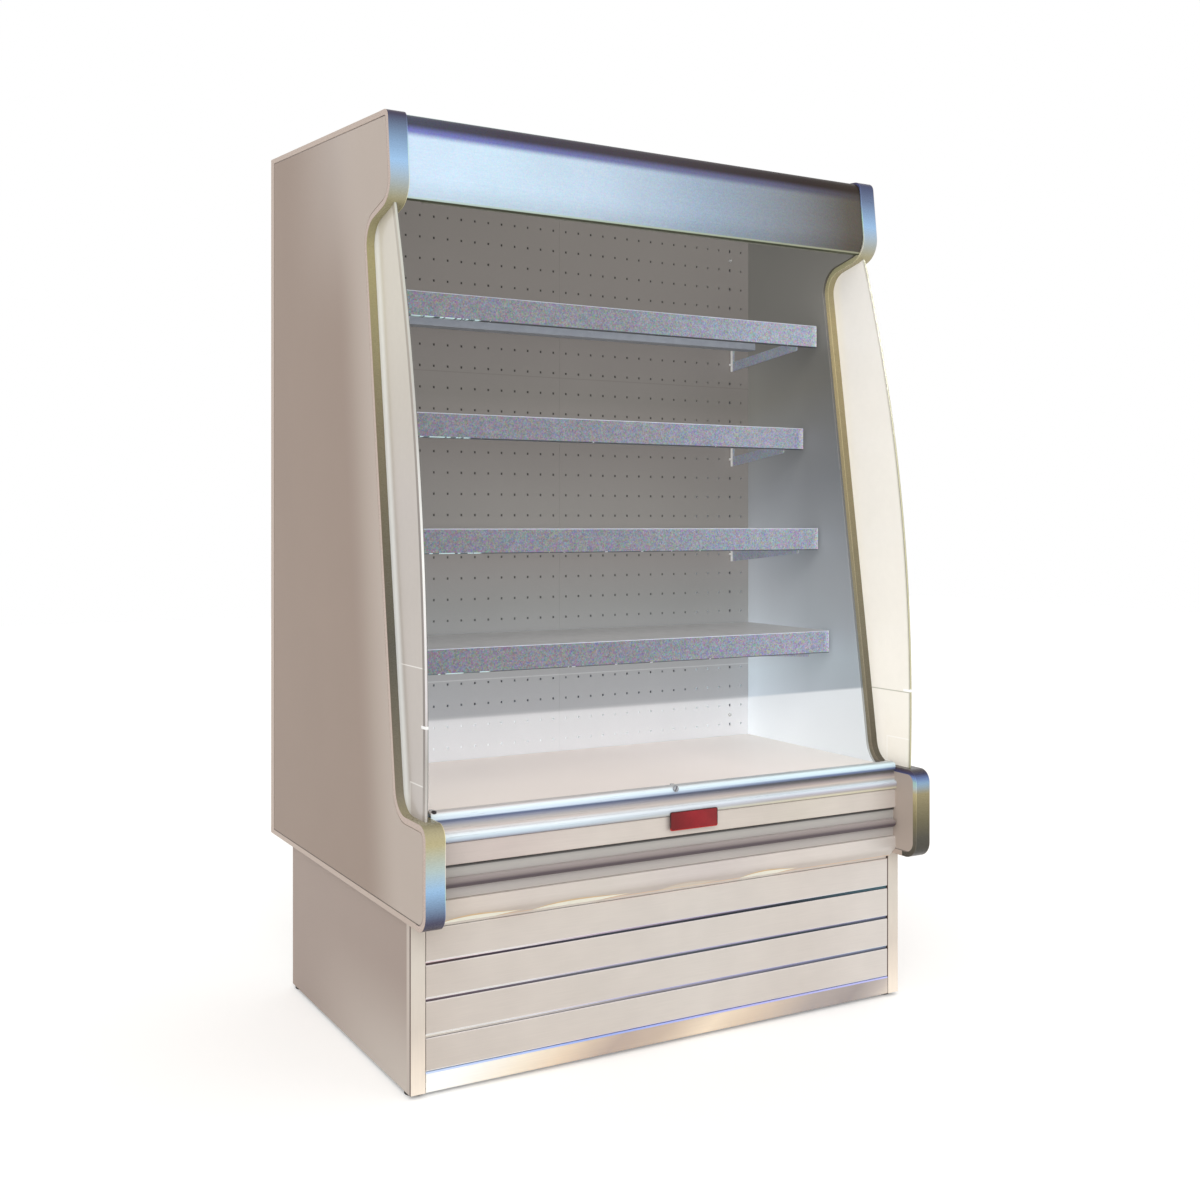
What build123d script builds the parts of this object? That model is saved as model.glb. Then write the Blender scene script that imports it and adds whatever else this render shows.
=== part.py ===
from build123d import *
import os
from math import radians, sin, tan

# An open multideck display fridge, 4 ft class, with its condensing unit in the base.
# Millimetres. +X to the right of someone facing the shelves, -Y towards them, +Z up.
# The origin is on the floor, in the middle of the footprint.

# ---- overall size ----
overall_width = 1295.0
overall_depth = 1050.0
height_at_back = 2100.0
front_drop = 86.0          # the top slopes down to the front by this much
height_at_front = height_at_back - front_drop
side_x = overall_width / 2
front_y = -overall_depth / 2
back_y = overall_depth / 2

# ---- side outline: setbacks are from the bumper's front, heights from the floor ----
canopy_top_setback = 205.0
canopy_bottom_setback = 184.0
canopy_height = 188.0
canopy_bottom_z = height_at_front - canopy_height
recess_top_setback = 337.0
recess_top_z = canopy_bottom_z - 34.0
recess_bottom_setback = 154.0
bumper_top_z = 566.0
bumper_bottom_z = 355.5
canopy_top_round = 22.0
canopy_bottom_round = 55.0
recess_top_round = 50.0
recess_bottom_round = 55.0
bumper_top_round = 30.0
bumper_bottom_round = 38.0
rear_edge_round = 3.0
top_slope = (height_at_back - height_at_front) / (overall_depth - canopy_top_setback)

# ---- end walls ----
end_panel_thickness = 42.0
trim_proud = 0.5            # the trim stands this far out of the painted panel
trim_depth = 12.0
groove_width = 2.5          # the groove that borders the panel's outer face
groove_depth = 1.2
rear_border = 26.0          # from the rear edge to that groove
trim_top_reach = 45.0       # how far the trim runs on along the top, recess and bottom
trim_recess_reach = 30.0
trim_bottom_reach = 12.0
liner_thickness = 7.5
end_inner_x = side_x - trim_proud - end_panel_thickness
interior_x = end_inner_x - liner_thickness

# ---- side wing panes ----
wing_thickness = 6.0
wing_top_setback = 213.0
wing_middle_setback = 74.0
wing_bottom_setback = 46.0
wing_top_drop = 6.0
wing_middle_drop = 4.0
wing_top_land = 8.0         # the pane's flat top, hidden in the canopy's trim
wing_top_rise = 20.0
wing_groove_depth = 5.0
wing_clearance = 0.2
wing_x = side_x - end_panel_thickness / 2

# ---- insulated body ----
wall_thickness = 60.0
back_panel_inset = 10.0
tub_floor_thickness = 46.5
tub_front_y = front_y + 84.0
tub_front_thickness = 36.0
tub_front_top_z = 547.5
tub_floor_z = bumper_bottom_z + tub_floor_thickness
back_wall_y = back_y - back_panel_inset - wall_thickness
roof_front_y = front_y + canopy_top_setback + 40.0
tub_front_chamfer = 16.0
tub_corner_round = 12.0
pipe_hole_clearance = 1.0

# ---- rear air duct ----
duct_front_y = back_wall_y - 308.0
duct_sheet = 1.5
duct_bottom_z = 560.0
duct_top_z = height_at_front - 69.0
duct_seam_gap = 0.4
duct_side_clearance = 0.5
hole_width = 4.6
hole_height = 5.6
hook_hole_height = 7.5
hole_pitch_x = 36.85
hole_pitch_z = 52.5
hole_columns = int(interior_x / hole_pitch_x)
hole_rows = int((duct_top_z - duct_bottom_z) / hole_pitch_z)
top_hole_z = duct_top_z - 32.5

# ---- slotted uprights and shelves ----
upright_width = 30.0
upright_depth = 25.0
upright_sheet = 2.0
sheet_bend = 2.5            # outer round of a folded sheet
slot_width = 4.0
slot_height = 9.0
bracket_column = hole_columns - 2
bracket_x = hole_pitch_x * (bracket_column + 0.5)
hook_neck_height = 5.5
shelf_names = ("shelf_1", "shelf_2", "shelf_3", "shelf_4")
hook_rows = [hole_rows * (i + 1) // (len(shelf_names) + 1) for i in range(len(shelf_names))]
shelf_setbacks = (355.0, 411.0, 349.0, 304.0)
shelf_half_width = interior_x - 10.5
shelf_sheet = 1.5
shelf_face_height = 57.0
shelf_face_return = 12.0
shelf_rear_gap = 12.0
shelf_rear_flange = 14.0
stiffener_rear_gap = 97.0   # a folded channel runs under the shelf, between its brackets
stiffener_width = 40.0
stiffener_height = 46.5
stiffener_bracket_gap = 12.0
hook_below_shelf_top = 20.0
bracket_sheet = 2.5
bracket_rear_gap = 6.0
bracket_rear_height = 93.0
bracket_front_height = 66.0
bracket_front_gap = 14.0
bracket_bar_height = 27.0
bracket_web_width = 14.0
bracket_top_flange = 9.0
bracket_corner = 3.0
bracket_window_chamfer = 12.0
hook_lip_height = 8.0
hook_lip_thickness = 3.0
hook_lip_gap = 1.5

# ---- canopy ----
fascia_sheet = 2.0
fascia_setback = 3.0
fascia_lip = 14.0
fascia_bottom_z = canopy_bottom_z + 6.0
fascia_top_round = 26.0
fascia_roll_height = 28.0   # the lower edge rolls in, as the end wall's corner does
fascia_roll_depth = 17.0
fascia_roll_round = 52.0
grille_depth = 88.0
grille_height = 24.0
grille_bottom_z = fascia_bottom_z + 42.0
grille_cells_x = 44
grille_cells_y = 3
grille_wall = 3.0
ceiling_sheet = 1.5
light_depth = 30.0
light_height = 14.0
light_end_gap = 40.0
diffuser_height = 5.0
light_grille_gap = 4.0
light_lip_gap = 3.5
light_side_round = 2.0
light_top_round = 4.0
ceiling_rear_land = 8.0

# ---- front: nosing, apron, bumper ----
apron_y = front_y + 74.0
apron_sheet = 1.5
nosing_rear_y = front_y + 104.0
nosing_top_z = 579.0
nosing_bottom_z = 513.0
nosing_rear_drop = 6.0
nosing_crown_depth = 13.0
nosing_crown_round = 12.0
nosing_front_drop = 3.0
nosing_front_round = 8.0
nosing_nose_height = 18.0
nosing_nose_proud = 1.0
cove_depth = 5.0
cove_drop = 25.0
cove_round = 4.0
flat_drop = 33.0
flat_depth = 2.0
bead_drop = 46.0
bead_proud = 5.5
bead_round = 6.0
nosing_wall = 4.0
tub_seat_gap = 1.0
apron_top_z = 512.5
apron_bottom_z = 467.5
channel_top_z = 465.5
channel_bottom_z = 399.0
channel_thickness = 3.0
channel_lip_depth = 2.0
channel_lip_height = 3.0
rail_bottom_z = 421.5
rail_height = 20.0
rail_depth = 15.0
rail_end_gap = 5.0
rail_round = 9.0
lower_apron_top_z = 398.5
lower_apron_bottom_z = 345.5
lower_apron_flat = 30.0
lower_apron_lean = 2.0
lower_apron_round = 20.0
lower_apron_foot_gap = 4.0
lower_apron_foot_round = 5.0
lower_apron_return = 16.0
badge_width = 124.0
badge_height = 41.0
badge_centre_x = 17.0
badge_centre_z = 502.0
badge_thickness = 2.5
badge_corner = 4.0
badge_standoff = 6.5
badge_boss_radius = 5.0

# ---- deck pan ----
deck_top_z = 568.5
deck_sheet = 1.5
deck_clearance = 2.0
deck_screw_clearance = 0.5  # behind the deck, to the screw heads of the rear panels
deck_slot_length = 24.0
deck_slot_width = 6.0
deck_slot_pitch = 40.0
deck_slot_count = int(2 * interior_x / deck_slot_pitch) - 1
deck_slot_setback = 24.0

# ---- base ----
base_half_width = side_x - 9.0
base_front_y = front_y + 101.0
base_back_y = back_y - 161.0
base_bottom_z = 8.0
base_top_z = bumper_bottom_z
base_sheet = 2.0
post_return = 20.0
frame_bar = 30.0
frame_bottom_z = 20.0
floor_plate = 2.0
kick_top_z = 50.0
kick_return = 22.0
louvre_bottom_z = 50.3
louvre_count = 4
louvre_pitch = 73.5
louvre_gap = 5.0
louvre_sheet = 1.5
louvre_lip = 14.0
louvre_lip_rise = 4.0
louvre_side_gap = 0.5
stile_width = 24.0
stile_depth = 6.0
stile_lap = 2.0
kick_foot_return = 12.0
rear_vent_rows = 5
rear_vent_columns = 6
rear_vent_width = 150.0
rear_vent_height = 8.0
rear_vent_pitch = 30.0

# ---- levelling feet ----
foot_radius = 22.0
foot_pad_height = 7.0
foot_hex_radius = 12.0
stud_radius = 6.0
stud_length = 38.0
running_clearance = 0.1
stud_hole_rise = 4.0
foot_pad_round = 2.0
foot_x = base_half_width - 24.5
foot_front_y = base_front_y + 37.0
foot_back_y = base_back_y - 17.0

# ---- condensing unit ----
condenser_width = 400.0
condenser_height = 262.0
condenser_depth = 48.0
condenser_x = -200.0
condenser_front_y = base_front_y + 36.0
condenser_fin_pitch = 10.0
fin_thickness = 2.5
fin_depth = 9.0
shroud_depth = 40.0
shroud_sheet = 2.0
condenser_fan_radius = 105.0
condenser_hub_radius = 26.0
condenser_fan_depth = 30.0
condenser_mouth_clearance = 12.0
condenser_blade_chord = 46.0
condenser_bar_lap = 22.0
condenser_motor_radius = 40.0
condenser_motor_length = 60.0
motor_round = 6.0
shaft_proud = 2.0
compressor_x = base_half_width - 308.5
compressor_y = base_front_y + 364.0
compressor_radius = 88.0
compressor_height = 190.0
compressor_crown_round = 45.0
compressor_base_round = 14.0
compressor_plate = 4.0
compressor_plate_reach = 20.0
compressor_plate_depth = 140.0
grommet_inset = 16.0
grommet_height = 14.0
grommet_radius = 14.0
terminal_width = 70.0
terminal_depth = 26.0
terminal_bottom = 60.0
terminal_height = 70.0
tray_length = 400.0
tray_width = 200.0
tray_height = 48.0
tray_sheet = 2.0
tray_y = back_wall_y - 230.0
spout_radius = 15.0
spout_bore = 12.0
spout_end_gap = 12.0
control_width = 130.0
control_depth = 60.0
control_height = 120.0
control_bottom_z = 180.0
control_gap = 7.0
gland_radius = 11.0
gland_bore = 5.0
gland_length = 14.0
rocker_from_bottom = 84.0
rocker_side_gap = 0.5
rocker_end_gap = 3.0
rocker_pocket_depth = 9.0
rocker_pin_reach = 2.0
rocker_width = 20.0
rocker_length = 24.0
rocker_thickness = 6.0
rocker_tilt = 8.0
rocker_pin_radius = 1.5
suction_radius = 7.0
liquid_radius = 4.5
pipe_bend = 22.0
suction_x = compressor_x + 130.0
liquid_x = compressor_x + 160.0
riser_y = back_wall_y - 190.0
suction_run_z = 309.5
liquid_run_z = 279.5
suction_coil_height = 90.0
liquid_coil_height = 150.0
drier_gap = 110.0
drier_radius = 13.0
drier_round = 6.0
drier_front_y = base_front_y + 184.0
drier_length = 110.0

# ---- evaporator and its fans ----
coil_left_x = -interior_x + 37.5
coil_right_x = interior_x - 167.5
coil_front_y = duct_front_y + 48.0
coil_depth = 140.0
coil_height = 380.0
coil_fin_pitch = 15.0
fan_plate_y = duct_front_y - 107.0
fan_plate_sheet = 1.5
fan_plate_flange = 20.0
fan_radius = 64.0
fan_hub_radius = 18.0
fan_depth = 22.0
fan_tip_clearance = 8.0
fan_x = 280.0
fan_z = tub_floor_z + 76.0
motor_radius = 28.0
motor_length = 44.0
shaft_radius = 3.0
fan_bar_width = 18.0
fan_bar_sheet = 3.0
fan_bar_gap = 34.0
fan_bar_lap = 3.0
evaporator_blade_chord = 34.0
blade_count = 5
blade_thickness = 2.0
blade_pitch = 32.0
shaft_clearance = 0.05

# ---- screws ----
screw_head_radius = 5.0
screw_head_height = 2.5
screw_shank_radius = 2.4
screw_hole_clearance = 0.1
screw_head_round = 1.4
nosing_screw_length = 10.0
nosing_screw_xs = (51.5 - side_x, -22.0, side_x - 51.5)
nosing_screw_y = nosing_rear_y - 8.0
duct_screw_rows = (0.5, hole_rows - 1.5)    # between the holes of two rows


# ======== shared shapes ========

def corner_arc(before, corner, after, radius):
    """Start, middle and end of the round that replaces a corner."""
    to_before = (before - corner).normalized()
    to_after = (after - corner).normalized()
    half_angle = radians(to_before.get_angle(to_after)) / 2
    bisector = (to_before + to_after).normalized()
    reach = radius / tan(half_angle)
    middle = corner + bisector * (radius / sin(half_angle) - radius)
    return corner + to_before * reach, middle, corner + to_after * reach


def outline(corners):
    """Face with straight sides and round corners, each corner as (u, v, radius)."""
    points = [Vector(u, v) for u, v, _ in corners]
    count = len(points)
    stretches = []
    for i, (_, _, radius) in enumerate(corners):
        if radius > 0:
            stretches.append(corner_arc(points[i - 1], points[i], points[(i + 1) % count], radius))
        else:
            stretches.append((points[i],))
    edges = []
    for i, stretch in enumerate(stretches):
        if len(stretch) == 3:
            edges.append(ThreePointArc(*stretch))
        following = stretches[(i + 1) % count][0]
        edges.append(Line(stretch[-1], following))
    return make_face(edges)


def strip(path, thickness):
    """Section of a bent sheet: path is one side as (u, v, radius), metal lies to its left."""
    points = [Vector(u, v) for u, v, _ in path]
    ways = [(b - a).normalized() for a, b in zip(points, points[1:])]
    normals = [Vector(-way.Y, way.X) for way in ways]
    far_side = [(points[0] + normals[0] * thickness, 0.0)]
    for i in range(1, len(points) - 1):
        shared = normals[i - 1] + normals[i]
        miter = shared * (thickness / (1 + normals[i - 1].dot(normals[i])))
        turns_left = ways[i - 1].cross(ways[i]).Z > 0
        radius = path[i][2]
        far_radius = max(radius - thickness, 0.0) if turns_left else radius + thickness
        far_side.append((points[i] + miter, far_radius if radius > 0 else 0.0))
    far_side.append((points[-1] + normals[-1] * thickness, 0.0))
    back = [(point.X, point.Y, radius) for point, radius in reversed(far_side)]
    return outline(list(path) + back)


def across(face, x_start, x_end):
    """Extrude a face drawn in (y, z) from x_start to x_end."""
    placed = Plane.YZ.offset(x_start) * face
    return extrude(placed, amount=x_end - x_start, dir=(1, 0, 0))


def deep(face, y_start, y_end):
    """Extrude a face drawn in (x, z) from y_start to y_end."""
    placed = Plane.XZ.offset(-y_start) * face
    return extrude(placed, amount=y_end - y_start, dir=(0, 1, 0))


def block(x, y, z):
    """Box between two values on each axis."""
    centre = Pos((x[0] + x[1]) / 2, (y[0] + y[1]) / 2, (z[0] + z[1]) / 2)
    return centre * Box(x[1] - x[0], y[1] - y[0], z[1] - z[0])


def zone(u, v):
    """Rectangle between two values each way."""
    return Pos((u[0] + u[1]) / 2, (v[0] + v[1]) / 2) * Rectangle(u[1] - u[0], v[1] - v[0])


def rod_y(x, z, radius, y_start, y_end):
    """Round bar along Y."""
    return Pos(x, (y_start + y_end) / 2, z) * Rot(90, 0, 0) * Cylinder(radius, y_end - y_start)


def rod_z(x, y, radius, z_start, z_end):
    """Round bar along Z."""
    return Pos(x, y, (z_start + z_end) / 2) * Cylinder(radius, z_end - z_start)


def rod_x(y, z, radius, x_start, x_end):
    """Round bar along X."""
    return Pos((x_start + x_end) / 2, y, z) * Rot(0, 90, 0) * Cylinder(radius, x_end - x_start)


def holed_face(width, height, centre, openings):
    """Rectangle with rectangular openings, each opening as (u, v, width, height)."""
    outer = (Pos(*centre) * Rectangle(width, height)).face().outer_wire()
    inner = [(Pos(u, v) * Rectangle(w, h)).face().outer_wire() for u, v, w, h in openings]
    return Face(outer, inner)


def mirrored(shape):
    """The same piece on the other side of the cabinet."""
    return mirror(shape, about=Plane.YZ)


def group(pieces):
    """Separate pieces that share one node."""
    return Compound([piece.solid() for piece in pieces])


def top_z(y):
    """Height of the sloping top at a depth."""
    return height_at_front + (y - front_y - canopy_top_setback) * top_slope


# ======== end walls ========

def end_outline():
    """Outline of an end wall, seen from its side."""
    return outline([
        (back_y, height_at_back, rear_edge_round),
        (front_y + canopy_top_setback, height_at_front, canopy_top_round),
        (front_y + canopy_bottom_setback, canopy_bottom_z, canopy_bottom_round),
        (front_y + recess_top_setback, recess_top_z, recess_top_round),
        (front_y + recess_bottom_setback, bumper_top_z + 1, recess_bottom_round),
        (front_y, bumper_top_z, bumper_top_round),
        (front_y, bumper_bottom_z, bumper_bottom_round),
        (back_y, bumper_bottom_z, rear_edge_round),
    ])


def inset_outline(distance):
    """The end wall's outline, moved inwards."""
    return offset(end_outline(), amount=-distance)


def trim_band():
    """The part of the outline's rim that the trim covers: canopy, recess and bumper."""
    top_end_y = front_y + canopy_top_setback + trim_top_reach
    recess_end_y = front_y + recess_top_setback + trim_recess_reach
    bottom_end_y = front_y + bumper_bottom_round + trim_bottom_reach
    split_z = (canopy_bottom_z + height_at_front) / 2
    low_z = bumper_bottom_z + trim_depth
    zones = [
        zone((front_y, top_end_y), (split_z, height_at_back)),
        zone((front_y, recess_end_y), (low_z, split_z)),
        zone((front_y, bottom_end_y), (bumper_bottom_z, low_z)),
    ]
    rim = end_outline() - inset_outline(trim_depth)
    return rim & (zones[0] + zones[1] + zones[2])


def left_end_trim():
    """Metal edge trim with the groove that holds the wing pane."""
    trim = across(trim_band(), -side_x, -end_inner_x)
    reach = wing_thickness / 2 + wing_clearance
    groove = across(wing_face(wing_groove_depth + wing_clearance), -wing_x - reach, -wing_x + reach)
    return trim - groove


def bordered_field(inset):
    """The panel's outer face within its border, moved in further by an inset."""
    in_front = zone((front_y, back_y - rear_border - inset), (bumper_bottom_z, height_at_back))
    return inset_outline(trim_depth + inset) & in_front


def left_end_panel():
    """Painted and foamed end wall behind the trim, with a fine groove round its outer face."""
    outer_x = -side_x + trim_proud
    panel = across(end_outline() - trim_band(), outer_x, -end_inner_x)
    ring = bordered_field(0) - bordered_field(groove_width)
    return panel - across(ring, outer_x, outer_x + groove_depth)


def wing_face(depth_in_trim):
    """Side pane: bowed front edge, rear edge let into the trim."""
    top = (front_y + wing_top_setback, canopy_bottom_z - wing_top_drop)
    middle = (front_y + wing_middle_setback, (canopy_bottom_z + bumper_top_z) / 2 - wing_middle_drop)
    bottom = (front_y + wing_bottom_setback, bumper_top_z - wing_groove_depth)
    rear_y = front_y + recess_top_setback
    high = top[1] + wing_top_rise
    bow = ThreePointArc(top, middle, bottom)
    sides = Polyline(bottom, (rear_y, bottom[1]), (rear_y, high), (top[0] + wing_top_land, high), top)
    return make_face([bow] + sides.edges()) - inset_outline(depth_in_trim)


def left_wing_pane():
    """Clear pane that keeps the cold air curtain in."""
    half = wing_thickness / 2
    return across(wing_face(wing_groove_depth), -wing_x - half, -wing_x + half)


def left_inner_liner():
    """White inner wall of the display space."""
    low = tub_floor_z
    high = top_z(front_y + canopy_top_setback) - wall_thickness
    clear_y = nosing_rear_y + deck_clearance
    window = outline([
        (clear_y, low, 0), (back_wall_y, low, 0),
        (back_wall_y, top_z(back_wall_y) - wall_thickness, 0),
        (roof_front_y, high, 0), (clear_y, high, 0),
    ])
    pocket = zone((front_y, fascia_lip_rear_y()), (fascia_bottom_z, height_at_front))
    face = (inset_outline(trim_depth) & window) - tub_section() - pocket
    return across(face, -end_inner_x, -interior_x)


# ======== insulated body ========

def tub_section():
    """Floor and low front wall of the foamed trough under the deck."""
    wall_y = tub_front_y + tub_front_thickness
    return outline([
        (tub_front_y + tub_front_chamfer, bumper_bottom_z, 0), (back_wall_y, bumper_bottom_z, 0),
        (back_wall_y, tub_floor_z, 0), (wall_y, tub_floor_z, tub_corner_round),
        (wall_y, tub_front_top_z, 0),
        (tub_front_y, tub_front_top_z, 0), (tub_front_y, bumper_bottom_z + tub_front_chamfer, 0),
    ])


def insulated_floor_tub():
    """Foamed trough under the deck, with its drain spout and pipe holes."""
    tub = across(tub_section(), -end_inner_x, end_inner_x)
    tray_rim_z = frame_bottom_z + frame_bar + floor_plate + tray_height
    spout = rod_z(0, tray_y, spout_radius, tray_rim_z + spout_end_gap, bumper_bottom_z + 1)
    bore = rod_z(0, tray_y, spout_bore, tray_rim_z, tub_floor_z + 1)
    pipe_holes = [
        rod_z(x, riser_y, radius + pipe_hole_clearance, base_top_z - 1, tub_floor_z + 1)
        for x, radius in ((suction_x, suction_radius), (liquid_x, liquid_radius))
    ]
    return tub + spout - bore - pipe_holes


def insulated_back_wall():
    """Foamed rear wall between the end walls."""
    section = outline([
        (back_wall_y, bumper_bottom_z, 0), (back_y - back_panel_inset, bumper_bottom_z, 0),
        (back_y - back_panel_inset, top_z(back_y - back_panel_inset) - wall_thickness, 0),
        (back_wall_y, top_z(back_wall_y) - wall_thickness, 0),
    ])
    return across(section, -end_inner_x, end_inner_x)


def insulated_roof():
    """Foamed sloping roof."""
    rear_y = back_y - back_panel_inset
    section = outline([
        (roof_front_y, top_z(roof_front_y), 0), (roof_front_y, top_z(roof_front_y) - wall_thickness, 0),
        (rear_y, top_z(rear_y) - wall_thickness, 0), (rear_y, top_z(rear_y), 0),
    ])
    return across(section, -end_inner_x, end_inner_x)


# ======== rear duct and uprights ========

def duct_holes():
    """Air holes of one rear panel; one column is taller and takes the shelf hooks."""
    holes = []
    for column in range(hole_columns):
        height = hook_hole_height if column == bracket_column else hole_height
        x = hole_pitch_x * (column + 0.5)
        holes += [(x, top_hole_z - hole_pitch_z * row, hole_width, height) for row in range(hole_rows)]
    return holes


def right_duct_panel():
    """Perforated rear panel right of the seam."""
    left = duct_seam_gap / 2
    right = interior_x - duct_side_clearance
    centre = ((left + right) / 2, (duct_bottom_z + duct_top_z) / 2)
    face = holed_face(right - left, duct_top_z - duct_bottom_z, centre, duct_holes())
    panel = deep(face, duct_front_y, duct_front_y + duct_sheet)
    return panel - duct_screw_holes()


def upright_slots():
    """Slots of an upright: each has its lower edge where a hook's neck rests."""
    seat_drop = hook_neck_height / 2
    return [
        (bracket_x, top_hole_z - hole_pitch_z * row - seat_drop + slot_height / 2, slot_width, slot_height)
        for row in range(hole_rows)
    ]


def right_upright():
    """Slotted channel that carries the shelf brackets, standing on the tub floor."""
    web_y = duct_front_y + duct_sheet
    rear_z = top_z(web_y) - wall_thickness
    height = rear_z - tub_floor_z
    face = holed_face(upright_width, height, (bracket_x, tub_floor_z + height / 2), upright_slots())
    web = deep(face, web_y, web_y + upright_sheet) - duct_screw_holes()
    half = upright_width / 2
    flanges = [
        block((x, x + upright_sheet), (web_y, web_y + upright_depth), (tub_floor_z, rear_z))
        for x in (bracket_x - half, bracket_x + half - upright_sheet)
    ]
    return web + flanges


def shelf_uprights():
    """Both uprights."""
    upright = right_upright()
    return group([mirrored(upright), upright])


def duct_screw_places():
    """Screws through the rear panels into the uprights."""
    return [(bracket_x, top_hole_z - hole_pitch_z * row) for row in duct_screw_rows]


def duct_screw_holes():
    """Clearance holes of those screws."""
    radius = screw_shank_radius + screw_hole_clearance
    end_y = duct_front_y + duct_sheet + upright_sheet + 1
    return [rod_y(x, z, radius, duct_front_y - 1, end_y) for x, z in duct_screw_places()]


# ======== shelves ========

def shelf_top_z(index):
    """Top of a shelf, from the row of slots that its hooks use."""
    return top_hole_z - hole_pitch_z * hook_rows[index] + hook_below_shelf_top


def shelf_tray(index):
    """Folded sheet shelf with a deep price face along its front."""
    top = shelf_top_z(index)
    front = front_y + shelf_setbacks[index]
    rear = duct_front_y - shelf_rear_gap
    path = [
        (rear, top - shelf_rear_flange, 0), (rear, top, sheet_bend), (front, top, sheet_bend),
        (front, top - shelf_face_height, sheet_bend),
        (front + shelf_face_return, top - shelf_face_height, 0),
    ]
    tray = across(strip(path, shelf_sheet), -shelf_half_width, shelf_half_width)
    under = top - shelf_sheet
    channel_rear = duct_front_y - stiffener_rear_gap
    channel_front = channel_rear - stiffener_width
    channel = [
        (channel_front, under, 0), (channel_front, under - stiffener_height, sheet_bend),
        (channel_rear, under - stiffener_height, sheet_bend), (channel_rear, under, 0),
    ]
    reach = bracket_x - stiffener_bracket_gap
    return tray + across(strip(channel, shelf_sheet), -reach, reach)


def bracket_face(index):
    """Cantilever bracket: top flange, sloping bar and rear web round a window, with two hooks."""
    top = shelf_top_z(index) - shelf_sheet
    front = front_y + shelf_setbacks[index] + bracket_front_gap
    rear = duct_front_y - bracket_rear_gap
    flange_rear = duct_front_y - shelf_rear_gap - shelf_sheet
    bottom_rear = shelf_top_z(index) - bracket_rear_height
    bottom_front = shelf_top_z(index) - bracket_front_height
    plate = outline([
        (rear, bottom_rear, bracket_corner), (rear, top - shelf_rear_flange, 0),
        (flange_rear, top - shelf_rear_flange, 0), (flange_rear, top, sheet_bend),
        (front, top, 0), (front, bottom_front, bracket_corner),
    ])
    inner_rear = rear - bracket_web_width
    slope = (bottom_rear - bottom_front) / (rear - front)
    bar_top = bottom_rear + bracket_bar_height
    inner_front = front + bracket_web_width
    window = outline([
        (inner_rear, bar_top, bracket_corner),
        (inner_rear, top - bracket_top_flange - shelf_rear_flange, bracket_corner),
        (inner_rear - bracket_window_chamfer, top - bracket_top_flange, bracket_corner),
        (inner_front, top - bracket_top_flange, bracket_corner),
        (inner_front, bar_top + slope * (inner_front - inner_rear), bracket_corner),
    ])
    return plate - window


def bracket_hooks(index):
    """Upper hook with its lip behind the upright, and the lower tab."""
    row_z = shelf_top_z(index) - hook_below_shelf_top
    neck_front = duct_front_y - bracket_rear_gap
    web_rear = duct_front_y + duct_sheet + upright_sheet
    half = hook_neck_height / 2
    lip_start = web_rear + hook_lip_gap
    upper = outline([
        (neck_front, row_z - half, 0), (lip_start, row_z - half, 0),
        (lip_start, row_z - hook_lip_height, 0), (lip_start + hook_lip_thickness, row_z - hook_lip_height, 1),
        (lip_start + hook_lip_thickness, row_z + half, 1), (neck_front, row_z + half, 0),
    ])
    tab_end = web_rear - hook_lip_gap / 3
    tab_z = row_z - hole_pitch_z
    lower = Pos((neck_front + tab_end) / 2, tab_z) * Rectangle(tab_end - neck_front, hook_neck_height)
    return upper + lower


def shelf_brackets(index):
    """The left and right bracket of a shelf."""
    half = bracket_sheet / 2
    face = bracket_face(index) + bracket_hooks(index)
    right = across(face, bracket_x - half, bracket_x + half)
    return group([mirrored(right), right])


# ======== canopy ========

def fascia_y(z):
    """Outer face of the fascia at a height: it runs parallel to the canopy's front edge."""
    slope = (canopy_top_setback - canopy_bottom_setback) / (height_at_front - canopy_bottom_z)
    top_y = front_y + canopy_top_setback + fascia_setback
    return top_y - slope * (height_at_front - z)


def fascia_lip_y():
    """Front of the fascia's lip, at the foot of its rolled edge."""
    return fascia_y(fascia_bottom_z + fascia_roll_height) + fascia_roll_depth


def fascia_lip_rear_y():
    """Rear edge of the fascia's lip."""
    return fascia_lip_y() + fascia_lip


def canopy_fascia():
    """Curved sheet over the canopy: round top, rolled lower edge and a lip that holds the light."""
    top = height_at_front - fascia_setback / 2
    roll_z = fascia_bottom_z + fascia_roll_height
    path = [
        (roof_front_y, top, 0), (fascia_y(top), top, fascia_top_round),
        (fascia_y(roll_z), roll_z, fascia_roll_round),
        (fascia_lip_y(), fascia_bottom_z, fascia_sheet + 0.5),
        (fascia_lip_rear_y(), fascia_bottom_z, 0),
    ]
    return across(strip(path, fascia_sheet), -end_inner_x, end_inner_x)


def grille_front_y():
    """Front of the discharge grille, behind the light."""
    return light_place()[0] + light_depth + light_grille_gap


def discharge_grille():
    """Egg-crate grille that straightens the falling air curtain."""
    start = grille_front_y()
    width = 2 * (interior_x - duct_side_clearance)
    cell_x = (width - grille_wall) / grille_cells_x - grille_wall
    cell_y = (grille_depth - grille_wall) / grille_cells_y - grille_wall
    cells = [
        (-width / 2 + grille_wall + cell_x / 2 + i * (cell_x + grille_wall),
         start + grille_wall + cell_y / 2 + j * (cell_y + grille_wall), cell_x, cell_y)
        for i in range(grille_cells_x) for j in range(grille_cells_y)
    ]
    face = holed_face(width, grille_depth, (0, start + grille_depth / 2), cells)
    return extrude(Pos(0, 0, grille_bottom_z) * face, amount=grille_height, dir=(0, 0, 1))


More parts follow.
